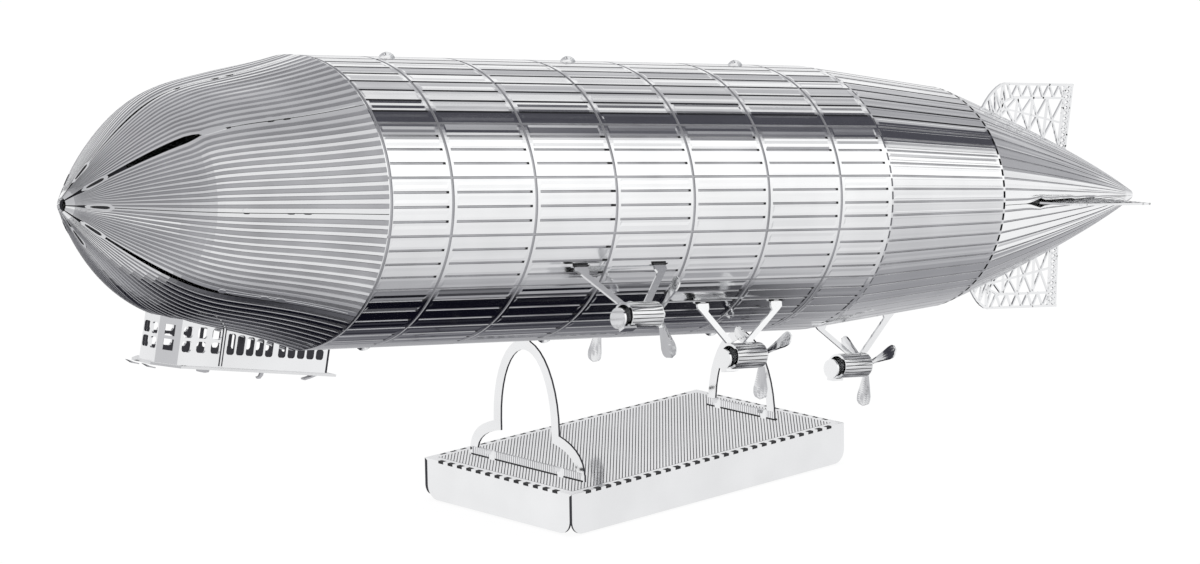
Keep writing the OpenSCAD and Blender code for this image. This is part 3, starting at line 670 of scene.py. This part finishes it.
def tube(k, nc):
    # Etched lines along the tube, w to each side of their middle, in degrees
    lines, w, groove = 22, 1.0, 0.05
    end = TUBE_LEN / 2
    xs = np.array([-end, -end + 0.12, -end + 0.16, -0.8, 0.8, end - 0.16, end - 0.12, end])
    angs, kinds = [], []
    for j in range(lines):
        a = 360 * j / lines
        angs += [a - w - 0.9, a - w, a + w, a + w + 0.9, a + 180 / lines]
        kinds += [0, 1, 1, 0, 0]
    rows, n = len(xs), len(angs)
    verts, faces, ids = [], [], []
    for inside in (False, True):
        for i, x in enumerate(xs):
            for j, a in enumerate(angs):
                if inside:
                    rr = TUBE_R - SHEET
                else:
                    rr = TUBE_R - (groove if kinds[j] and 1 < i < rows - 2 else 0)
                    rr += 0.012 * math.sin(3.1 * x + 2 * j)
                verts.append((x, rr * math.sin(math.radians(a)), rr * math.cos(math.radians(a))))
    nv = rows * n
    for i in range(rows - 1):
        for j in range(n):
            a, b = i * n + j, i * n + (j + 1) % n
            faces.append((a, a + n, b + n, b))
            # Groove faces take the unlit material: painted shade
            ids.append(UNLIT if 0 < i < rows - 2 and (kinds[j] or kinds[(j + 1) % n]) else SATIN)
            faces.append((nv + a, nv + b, nv + b + n, nv + a + n))
            ids.append(SATIN)
    for j in range(n):
        for i in (0, rows - 1):
            a, b = i * n + j, i * n + (j + 1) % n
            faces.append((a, b, nv + b, nv + a) if i == 0 else (a, nv + a, nv + b, b))
            ids.append(POLISHED)
    add_mesh("engine_tube_%d" % k, nacelle_to_row(nc, np.array(verts)), faces, ids, slot="etched_steel",
             replaces=["nacelle_tube_%d" % k])


def propeller(k, nc):
    lean = nc[3] * (90 - nc[2])
    verts, faces = [], []
    steps, across = 18, 5
    root_r, tip_r = 0.5, 4.9
    # Half widths at the root and out to the place where the tip is rounded off
    root_w, wide_w = 0.27, 0.82
    round_from, rounding = 4.1, 0.8
    half_thick, camber = 0.11, 0.05
    for blade in range(3):
        a = math.radians(nc[4] - lean + 120 * blade)
        ca, sa = math.cos(a), math.sin(a)
        first = len(verts)
        for side in (-1, 1):
            for i in range(steps + 1):
                u = i / steps
                r = root_r + (tip_r - root_r) * u
                w = root_w + 0.55 * min(1, u / 0.72) ** 1.3
                if r > round_from:
                    w = wide_w * math.sqrt(max(0.0, 1 - ((r - round_from) / rounding) ** 2))
                pit = -math.radians(42 - 26 * u)
                for j in range(across):
                    v = -1 + 2 * j / (across - 1)
                    dx = -v * w * math.sin(pit)
                    dt = v * w * math.cos(pit)
                    off = side * half_thick + camber * (1 - v * v)
                    px = HUB_X + SHEET / 2 + dx + off * math.cos(pit) * 0.9
                    pt = dt + off * math.sin(pit)
                    # The radial direction is z turned about x by a
                    verts.append((px, -r * sa + pt * ca, r * ca + pt * sa))
        nside = (steps + 1) * across
        for i in range(steps):
            for j in range(across - 1):
                q = first + i * across + j
                faces.append((q, q + 1, q + across + 1, q + across))
                q += nside
                faces.append((q, q + across, q + across + 1, q + 1))
            for j in (0, across - 1):
                q = first + i * across + j
                faces.append((q, q + across, q + across + nside, q + nside))
        for i in (0, steps):
            for j in range(across - 1):
                q = first + i * across + j
                faces.append((q, q + nside, q + nside + 1, q + 1))
    # Hub: a washer with a rounded rim
    first = len(verts)
    seg = 28
    prof = [(0, 0.36), (0, 0.68), (0.05, 0.75), (SHEET - 0.05, 0.75), (SHEET, 0.68), (SHEET, 0.36)]
    for x, r in prof:
        for j in range(seg):
            t = 2 * math.pi * j / seg
            verts.append((HUB_X + x, r * math.sin(t), r * math.cos(t)))
    for i in range(len(prof)):
        here, after = first + i * seg, first + ((i + 1) % len(prof)) * seg
        for j in range(seg):
            j1 = (j + 1) % seg
            faces.append((here + j, here + j1, after + j1, after + j))
    add_mesh("blades_%d" % k, nacelle_to_row(nc, np.array(verts)), faces, BLADE,
             body="propeller_" + PLACES[k - 1], replaces=["propeller_%d" % k])


# Where the struts' feet stand on each nacelle's tube, ahead and astern of its middle
FEET = [(2.1, 1.9), (2.1, 1.9), (2.1, 0.75), (2.1, 0.75), (0.5, 2.1)]


def struts(k, nc):
    parts, slots = [], []
    for s, foot in zip((-1, 1), FEET[k - 1]):
        # The skin's height over the tube's axis, where the strut goes in
        top = DROP + skin_r(nc[0]) - skin_r(nc[0] + s * 5.8)
        foot_z = TUBE_R + 0.03
        out = [(foot + 0.5, foot_z), (6.2, top - 0.95), (6.62, top - 0.6), (6.66, top - 0.1),
               (6.2, top + 0.02), (6.12, top + 0.3), (5.48, top + 0.3), (5.4, top + 0.02),
               (4.92, top - 0.06), (4.9, top - 0.55), (5.1, top - 0.95), (foot - 0.6, foot_z)]
        parts.append(plate([(s * x, z) for x, z in out], -SHEET / 2, SHEET / 2))
        # The slot where the strut goes into the skin is a dark plate of painted shade
        slot = [(4.7, top - 0.02), (6.9, top - 0.02), (6.9, top + 0.02), (4.7, top + 0.02)]
        slots.append(plate([(s * x, z) for x, z in slot], -0.34, 0.34))
    v, f = join(parts)
    add_mesh("strut_pair_%d" % k, nacelle_to_row(nc, v), f, POLISHED, replaces=["nacelle_struts_%d" % k])
    v, f = join(slots)
    add_mesh("strut_slots_%d" % k, nacelle_to_row(nc, v), f, PAINTED_SHADE)


for k, nc in enumerate(NACELLES, 1):
    tube(k, nc)
    propeller(k, nc)
    struts(k, nc)


# small tabs

def ribbon(x0, up):
    """Seam tab: a strip bent up out of the seam and twisted half over"""
    steps, length, rise, half_w, half_t = 12, 2, 0.42, 0.2, 0.05
    verts, faces = [], []
    for i in range(steps + 1):
        u = i / steps
        a = math.radians(160 * u - 10)
        z = HULL_R - 0.05 + rise * math.sin(math.pi * u) ** 0.7
        w = (half_w * math.cos(a), half_w * math.sin(a))
        t = (-half_t * math.sin(a), half_t * math.cos(a))
        for p, q in ((1, 1), (1, -1), (-1, -1), (-1, 1)):
            verts.append((x0 + length * u, p * w[0] + q * t[0], up * (z + p * w[1] + q * t[1])))
    for i in range(steps):
        for j in range(4):
            a, b = 4 * i + j, 4 * i + (j + 1) % 4
            faces.append((a, b, b + 4, a + 4))
    last = 4 * steps
    return verts, faces + [(0, 3, 2, 1), (last, last + 1, last + 2, last + 3)]


v, f = join([ribbon(1.8 + 26 * i, up) for i in range(3) for up in (-1, 1)])
add_mesh("seam_tabs", to_row(v), f, POLISHED)


def gondola_to_row(p):
    """Points in the gondola's own frame to the row frame"""
    a = math.radians(4.4)
    gondola_x, drop = -4.4, 2.2
    x, y, z = p[:, 0], p[:, 1], p[:, 2]
    return to_row(np.stack([x * math.cos(a) + z * math.sin(a) + gondola_x, y,
                            -x * math.sin(a) + z * math.cos(a) - HULL_R - drop], -1))


# Tabs bent over below the floor: how far out, half their width, and their outline
BENT = [
    (1.3, 0.25, [(-22.9, -0.22), (-22.7, -0.22), (-22.1, -0.4), (-21.4, -0.5), (-21.4, -0.6),
                 (-22.2, -0.52)]),
    (2.5, 0.3, [(-16.9, -0.26), (-15.5, -0.26), (-15.6, -0.56), (-16.1, -0.64), (-16.7, -0.58)]),
    (2.5, 0.12, [(-8.6, -0.22), (-8.25, -0.22), (-8.3, -0.6), (-8.6, -0.95), (-8.95, -0.98), (-9.1, -0.8),
                 (-8.8, -0.72)]),
    (2.5, 0.3, [(-2.9, -0.7), (-2.8, -0.86), (-2.0, -0.62), (-1.1, -0.26), (-1.6, -0.26), (-2.2, -0.5)]),
]
tabs = [plate(points, s * y - half, s * y + half) for y, half, points in BENT for s in (-1, 1)]
v, f = join(tabs)
add_mesh("gondola_tabs", gondola_to_row(v), f, ETCHED)


# The seam between the cab and each side panel: two dark lines of painted shade with a bright one between
# them
seam, lit = [], []
for s in (-1, 1):
    for x0, x1, out in ((-14.5, -14.34, seam), (-14.34, -14.16, lit), (-14.16, -14.0, seam)):
        out.append(plate([(x0, 0.1), (x1, 0.1), (x1, 4.3), (x0, 4.3)], s * 2.8 - 0.02, s * 2.8 + 0.03))
for name, parts, mat in (("gondola_seam", seam, UNLIT), ("gondola_seam_edge", lit, POLISHED)):
    v, f = join(parts)
    add_mesh(name, gondola_to_row(v), f, mat)


def nose_patch(turn, t0, t1, w0, w1, lift):
    """Thin patch lying on the nose, between two places from root to tip, w0 and w1 wide"""
    n, thick = 9, 0.06
    t = np.linspace(t0, t1, n)
    pts = bezier(NOSE, t)
    nrm = curve_normals(bezier(NOSE, np.linspace(t0 - 0.01, t1 + 0.01, n)))
    verts, faces = [], []
    for i in range(n):
        u = i / (n - 1)
        w = (w0 * (1 - u) + w1 * u) * math.sqrt(max(0.08, 1 - (2 * u - 1) ** 4))
        half = math.degrees(w / 2 / pts[i, 1])
        for h in (lift, lift - thick):
            for a in (-half, half):
                verts.append(polar(pts[i, 0] + nrm[i, 0] * h, pts[i, 1] + nrm[i, 1] * h, turn + a))
    for i in range(n - 1):
        q = 4 * i
        faces += [(q, q + 1, q + 5, q + 4), (q + 2, q + 6, q + 7, q + 3),
                  (q, q + 4, q + 6, q + 2), (q + 1, q + 3, q + 7, q + 5)]
    q = 4 * (n - 1)
    return verts, faces + [(0, 2, 3, 1), (q, q + 1, q + 3, q + 2)]


# At each boundary of the nose: the tip's tabs with their holes, a raised edge, and three small tabs. The
# holes are thin dark patches of painted shade.
rims, holes = [], []
for b in range(PETALS):
    turn = NOSE_TURN + PETAL_TURN * b
    rims.append(nose_patch(turn, 0.905, 0.965, 0.75, 0.5, 0.03))
    holes.append(nose_patch(turn, 0.915, 0.955, 0.34, 0.22, 0.05))
    rims.append(nose_patch(turn + 0.8, 0.02, 0.46, 0.24, 0.3, 0.03))
    for t in (0.2, 0.26, 0.45):
        rims.append(nose_patch(turn + 1.2, t, t + 0.035, 0.42, 0.42, 0.04))
        holes.append(nose_patch(turn - 0.2, t + 0.004, t + 0.03, 0.14, 0.14, 0.05))
# A flap covers the root end of the widest slot, the one at boundary 7
rims.append(nose_patch(NOSE_TURN + PETAL_TURN * 7 + 0.6, 0.45, 0.6, 0.45, 0.8, 0.05))
v, f = join(rims)
add_mesh("nose_tabs", to_row(v), f, POLISHED)
v, f = join(holes)
add_mesh("nose_slots", to_row(v), f, PAINTED_SHADE)


# stand

def clip(poly, axis, limit, keep_low):
    """The part of a flat polygon on one side of a limit"""
    out = []
    for a, b in zip(poly, poly[1:] + poly[:1]):
        ia = a[axis] <= limit if keep_low else a[axis] >= limit
        ib = b[axis] <= limit if keep_low else b[axis] >= limit
        if ia:
            out.append(a)
        if ia != ib:
            f = (limit - a[axis]) / (b[axis] - a[axis])
            out.append(tuple(a[k] + (b[k] - a[k]) * f for k in (0, 1)))
    return out


# Fine ribs on the stand: from one to the next, and how much of that is polished
RIB_PITCH, RIB_PART = 0.335, 0.67


def signed_area(poly):
    return sum(a[0] * b[1] - b[0] * a[1] for a, b in zip(poly, poly[1:] + poly[:1]))


def stand_stripes():
    """Polished ribs left standing between diagonal etched stripes, inside a plain border"""
    hx, hy = BASE_L / 2 - 1.05, BASE_W / 2 - 1.0
    # The etched ground and the ribs' tops, over the tray's top
    ground, rib = 0.008, 0.035
    verts, faces, ids = [], [], []

    def prism(poly, z0, z1, top):
        base = len(verts)
        m = len(poly)
        for z in (z0, z1):
            verts.extend([(STAND_X + x, y, z) for x, y in poly])
        faces.append(tuple(base + m + k for k in range(m)))
        ids.append(top)
        for k in range(m):
            faces.append((base + k, base + (k + 1) % m, base + m + (k + 1) % m, base + m + k))
            ids.append(ETCHED)

    # The etched ground's top is painted shade: it takes the unlit material
    prism([(-hx, -hy), (hx, -hy), (hx, hy), (-hx, hy)], BASE_H + 0.001, BASE_H + ground, UNLIT)
    d = 1 / math.sqrt(2)
    w = RIB_PITCH * RIB_PART / 2
    # Half the length of a rib before it is cut at the border
    far = 60
    count = int((hx + hy) * 2 * d / RIB_PITCH)
    for k in range(-count, count + 1):
        c = k * RIB_PITCH
        poly = [(c * d + s * far * d + e * w * -d, -c * d + s * far * d + e * w * d)
                for s, e in ((-1, -1), (1, -1), (1, 1), (-1, 1))]
        for axis, lim in ((0, hx), (1, hy)):
            poly = clip(poly, axis, lim, True)
            poly = clip(poly, axis, -lim, False)
        if len(poly) >= 3:
            if signed_area(poly) < 0:
                poly = poly[::-1]
            prism(poly, BASE_H + 0.001, BASE_H + rib, POLISHED)
    return add_mesh("stand_stripes", verts, faces, ids)


stripes = stand_stripes()


def boxes(name, spans, mat):
    """Boxes from (x0, x1, y0, y1, z0, z1), x measured from the stand's middle"""
    parts = []
    for x0, x1, y0, y1, z0, z1 in spans:
        v, f = plate([(x0, z0), (x1, z0), (x1, z1), (x0, z1)], y0, y1)
        parts.append(([(STAND_X + x, y, z) for x, y, z in v], f))
    v, f = join(parts)
    return add_mesh(name, v, f, mat)


# Painted shade inside the perforations of the folds: dark boxes
PERF, PERF_LEN = 1.5, 0.8
holes = []
for n_holes, across, end in ((26, False, BASE_W / 2), (13, True, BASE_L / 2)):
    for i in range(n_holes):
        c = (i - (n_holes - 1) / 2) * PERF
        for s in (-1, 1):
            a, b = sorted((s * (end - 0.42), s * (end - 0.03)))
            lo, hi = c - PERF_LEN / 2 + 0.01, c + PERF_LEN / 2 - 0.01
            z = (BASE_H - 0.26, BASE_H - 0.03)
            holes.append((a, b, lo, hi, *z) if across else (lo, hi, a, b, *z))
boxes("fold_holes", holes, PAINTED_SHADE)

# The arches' foot bars: fine upright lines on both faces, and a dark line of painted shade where they meet
# the top
ribs, grounds, feet = [], [], []
for xa, half in ((-ARCH_X, 8.6), (ARCH_X, 5.2)):
    for s in (-1, 1):
        face = xa + s * SHEET / 2
        a, b = sorted((face, face + s * 0.006))
        grounds.append((a, b, -half, half, BASE_H + 0.2, BASE_H + 0.98))
        a, b = sorted((face, face + s * 0.03))
        y = -half
        while y < half - 0.2:
            ribs.append((a, b, y, y + 0.16, BASE_H + 0.22, BASE_H + 0.96))
            y += RIB_PITCH
    feet.append((xa - 0.18, xa + 0.18, -half - 0.2, half + 0.2, BASE_H + 0.001, BASE_H + 0.2))
for name, spans, mat in (("foot_bar_ground", grounds, ETCHED), ("foot_bar_lines", ribs, POLISHED),
                         ("foot_bar_shade", feet, PAINTED_SHADE)):
    boxes(name, spans, mat).visible_glossy = False

# Tabs that come up through the tray's top ahead of each foot bar, and curl over
HOOK = [(-0.14, 0), (-0.14, 1.0), (-0.3, 1.16), (-0.62, 1.08), (-0.8, 0.74), (-0.66, 0.78),
        (-0.5, 0.96), (-0.32, 0.95), (-0.27, 0)]
hooks = []
for xa, y in ((-ARCH_X, 5.4), (ARCH_X, 3.6)):
    outline = [(STAND_X + xa + x, BASE_H + 0.001 + z) for x, z in HOOK]
    for s in (-1, 1):
        hooks.append(plate(outline, s * y - 0.4, s * y + 0.4))
v, f = join(hooks)
add_mesh("arch_tabs", v, f, POLISHED).visible_glossy = False


# CAD pieces whose shapes are right keep them. A sheet's faces that no light reaches get the unlit material.
def inner_face(name, c, nm):
    """Whether the face with its middle at c, in millimetres, and its normal nm gets the unlit material"""
    if name == "base_tray":
        x, y = c[0] - STAND_X, c[1]
        top = nm[2] > 0.9 and c[2] > BASE_H - 0.01
        side = abs(nm[1]) > 0.9 and y * nm[1] > 0 and abs(y) > BASE_W / 2 - 0.05
        end = abs(nm[0]) > 0.9 and x * nm[0] > 0 and abs(x) > BASE_L / 2 - 0.05
        end = end and abs(y) < BASE_W / 2 - 0.27
        return not (top or side or end)
    if name.endswith("arch"):
        return abs(nm[0]) < 0.5
    if name.startswith("gondola_side"):
        return nm[1] * (1 if name.endswith("port") else -1) > -0.5
    if name == "gondola_cab":
        return nm[1] * c[1] < 0 and abs(nm[1]) > 0.5 or nm[0] > 0.3
    return name == "gondola_stern" and nm[0] < 0.5


for name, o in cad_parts.items():
    if o.hide_render:
        continue
    mat = SATIN if name == "gondola_floor" or name.startswith("nacelle_back") else POLISHED
    # The nose cap is painted shade: it takes the unlit material
    if name == "nose_cap":
        mat = UNLIT
    o.data.materials.clear()
    for m in (mat, UNLIT):
        o.data.materials.append(MATERIALS[m])
    mw = o.matrix_world
    for p in o.data.polygons:
        c = mw @ p.center * 1000
        p.material_index = 1 if inner_face(name, c, mw.to_3x3() @ p.normal) else 0


# The hull doesn't show the stand or the gondola, so that its polished underside stays dark
UNSEEN = ["base_tray", "front_arch", "rear_arch", "gondola_cab", "gondola_floor", "gondola_side_port",
          "gondola_side_starboard", "gondola_stern"]
for o in [stripes] + [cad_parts[k] for k in UNSEEN]:
    o.visible_glossy = False


# stage, light and camera

me = bpy.data.meshes.new("floor")
me.from_pydata([(-3, -3, 0), (3, -3, 0), (3, 3, 0), (-3, 3, 0)], [], [(0, 1, 2, 3)])
floor = bpy.data.objects.new("floor", me)
bpy.context.scene.collection.objects.link(floor)
floor.location.z = -0.0002
m, n, l = new_material("pale_floor")
out = n.new("ShaderNodeOutputMaterial")
mix = n.new("ShaderNodeMixShader")
lp = n.new("ShaderNodeLightPath")
scale = n.new("ShaderNodeMath")
scale.operation = "MULTIPLY"
scale.inputs[1].default_value = 0.86
dif = n.new("ShaderNodeBsdfDiffuse")
dif.inputs["Color"].default_value = (0.85, 0.85, 0.85, 1)
em = n.new("ShaderNodeEmission")
em.inputs["Strength"].default_value = 1.1
l.new(lp.outputs["Is Camera Ray"], scale.inputs[0])
l.new(scale.outputs[0], mix.inputs[0])
l.new(dif.outputs[0], mix.inputs[1])
l.new(em.outputs[0], mix.inputs[2])
l.new(mix.outputs[0], out.inputs[0])
me.materials.append(m)
floor.visible_glossy = False

scene = bpy.context.scene
scene.view_settings.view_transform = "Standard"
world = bpy.data.worlds.new("studio")
scene.world = world
world.use_nodes = True
n, l = world.node_tree.nodes, world.node_tree.links
n.clear()
out = n.new("ShaderNodeOutputWorld")
bg = n.new("ShaderNodeBackground")
l.new(bg.outputs[0], out.inputs[0])
tc = n.new("ShaderNodeTexCoord")
sep = n.new("ShaderNodeSeparateXYZ")
l.new(tc.outputs["Generated"], sep.inputs[0])
neg = n.new("ShaderNodeMath")
neg.operation = "MULTIPLY"
neg.inputs[1].default_value = -1
l.new(sep.outputs["Y"], neg.inputs[0])
# The turn round the row's length, as 0 to 1, and the place along the hull's axis
at = n.new("ShaderNodeMath")
at.operation = "ARCTAN2"
l.new(sep.outputs["Z"], at.inputs[0])
l.new(neg.outputs[0], at.inputs[1])
fac = n.new("ShaderNodeMapRange")
fac.inputs["From Min"].default_value = -math.pi
fac.inputs["From Max"].default_value = math.pi
l.new(at.outputs[0], fac.inputs["Value"])
along = n.new("ShaderNodeVectorMath")
along.operation = "DOT_PRODUCT"
along.inputs[1].default_value = (math.cos(PITCH), 0, -math.sin(PITCH))
l.new(tc.outputs["Generated"], along.inputs[0])


def panel(v):
    """Light of a panel that bare steel shows at a tone of 0 to 255, the dark ones slightly blue"""
    out = []
    for tone in (v, v, v + 10 * max(0, 1 - v / 255)):
        t = tone / 255
        out.append((t / 12.92 if t < 0.04045 else ((t + 0.055) / 1.055) ** 2.4) / 0.9)
    return out + [1]


def ring_of_panels(stops):
    """Tones by degrees round the row's length: 0 is the near side's horizon, 90 overhead, -90 below"""
    r = n.new("ShaderNodeValToRGB")
    el = r.color_ramp.elements
    el.remove(el[1])
    for k, (deg, v) in enumerate(stops):
        e = el[0] if k == 0 else el.new((deg + 180) / 360)
        e.position = (deg + 180) / 360
        e.color = panel(v)
    l.new(fac.outputs[0], r.inputs[0])
    return r.outputs[0]


def zone(before, after, x0, x1):
    """One ring of panels giving way to the next from x0 to x1, measured along the hull's axis"""
    f = n.new("ShaderNodeMapRange")
    f.interpolation_type = "SMOOTHSTEP"
    f.inputs["From Min"].default_value = x0
    f.inputs["From Max"].default_value = x1
    l.new(along.outputs["Value"], f.inputs["Value"])
    m = n.new("ShaderNodeMix")
    m.data_type = "RGBA"
    l.new(f.outputs[0], m.inputs["Factor"])
    l.new(before, m.inputs["A"])
    l.new(after, m.inputs["B"])
    return m.outputs["Result"]


# From nose to tail
bow = ring_of_panels([
    (-180, 240), (-120, 235), (-60, 185), (-30, 195), (-23, 238), (-11, 238), (-4, 200), (60, 185),
    (120, 190), (165, 235)])
before_blades = ring_of_panels([
    (-180, 240), (-120, 235), (-60, 190), (0, 210), (60, 190), (130, 185), (150, 65), (175, 50),
    (179.5, 240)])
side = [
    (-64, 200), (-50, 228), (-30, 232), (0, 232), (40, 232), (58, 215), (66, 195), (76, 180), (86, 185),
    (110, 180), (140, 195), (165, 250)]
ahead = ring_of_panels([(-180, 240), (-150, 215), (-125, 150), (-108, 30), (-88, 16), (-78, 130)] + side)
shade = ring_of_panels([(-180, 240), (-166, 200), (-150, 60), (-136, 20), (-88, 16), (-78, 120)] + side)
dark_below = [
    (-180, 205), (-158, 190), (-146, 160), (-134, 135), (-123, 110), (-112, 60), (-102, 14), (-78, 10),
    (-70, 140)]
pale_below = [
    (-180, 220), (-158, 210), (-146, 195), (-134, 188), (-123, 182), (-112, 172), (-102, 150), (-78, 145),
    (-70, 190)]
beside = [(-56, 205), (-34, 225), (-10, 240), (10, 252), (20, 262), (48, 262)]
above = [
    (69, 74), (84, 68), (86, 185), (92, 250), (97, 175), (102, 245), (107, 170), (119, 200), (127, 255),
    (137, 190), (143, 175), (153, 255), (162, 215), (172, 240)]
middle_fore = ring_of_panels(dark_below + beside + [(54, 238), (58, 200), (64, 140)] + above)
middle = ring_of_panels(dark_below + beside + [(54, 215), (58, 140), (64, 95)] + above)
middle_aft = ring_of_panels(pale_below + beside + [(54, 210), (58, 125), (64, 85)] + above)
taper = ring_of_panels([
    (-180, 200), (-146, 190), (-123, 175), (-100, 150), (-78, 150), (-66, 175), (-45, 200), (-22, 216),
    (0, 238), (20, 262), (46, 262), (53, 215), (57, 100), (62, 72), (82, 74), (87, 140), (92, 190),
    (101, 160), (119, 185), (131, 165), (143, 210), (154, 180), (172, 215)])
astern = ring_of_panels([
    (-180, 215), (-120, 240), (-45, 245), (0, 240), (25, 222), (45, 180), (60, 165), (90, 170), (120, 160),
    (150, 190)])
studio = bow
for ring, x0, x1 in ((before_blades, -0.6, -0.45), (ahead, -0.28, -0.14), (shade, 0.06, 0.24),
                     (middle_fore, 0.42, 0.58), (middle, 0.685, 0.708), (middle_aft, 0.722, 0.742),
                     (taper, 0.785, 0.82), (astern, 0.915, 0.955)):
    studio = zone(studio, ring, x0, x1)
# The camera itself sees a white room
lp = n.new("ShaderNodeLightPath")
cam_mix = n.new("ShaderNodeMix")
cam_mix.data_type = "RGBA"
cam_mix.inputs["B"].default_value = (1, 1, 1, 1)
l.new(lp.outputs["Is Camera Ray"], cam_mix.inputs["Factor"])
l.new(studio, cam_mix.inputs["A"])
l.new(cam_mix.outputs["Result"], bg.inputs["Color"])

# The camera that was fitted to the photograph
cam = bpy.data.cameras.new("camera")
co = bpy.data.objects.new("camera", cam)
scene.collection.objects.link(co)
cam.lens = 128.592
cam.sensor_width = 36
cam.shift_x = 0.00142
cam.shift_y = 0.00183
cam.clip_start = 0.01
az, el, roll = math.radians(44.059), math.radians(12.309), math.radians(-0.817)
d = Vector((math.sin(az) * math.cos(el), math.cos(az) * math.cos(el), -math.sin(el)))
r0 = d.cross(Vector((0, 0, 1))).normalized()
u0 = r0.cross(d)
right = math.cos(roll) * r0 + math.sin(roll) * u0
up = -math.sin(roll) * r0 + math.cos(roll) * u0
rot = Matrix((right, up, -d)).transposed()
co.matrix_world = Matrix.Translation(Vector((-0.327192, -0.32805, 0.12267))) @ rot.to_4x4()
scene.camera = co
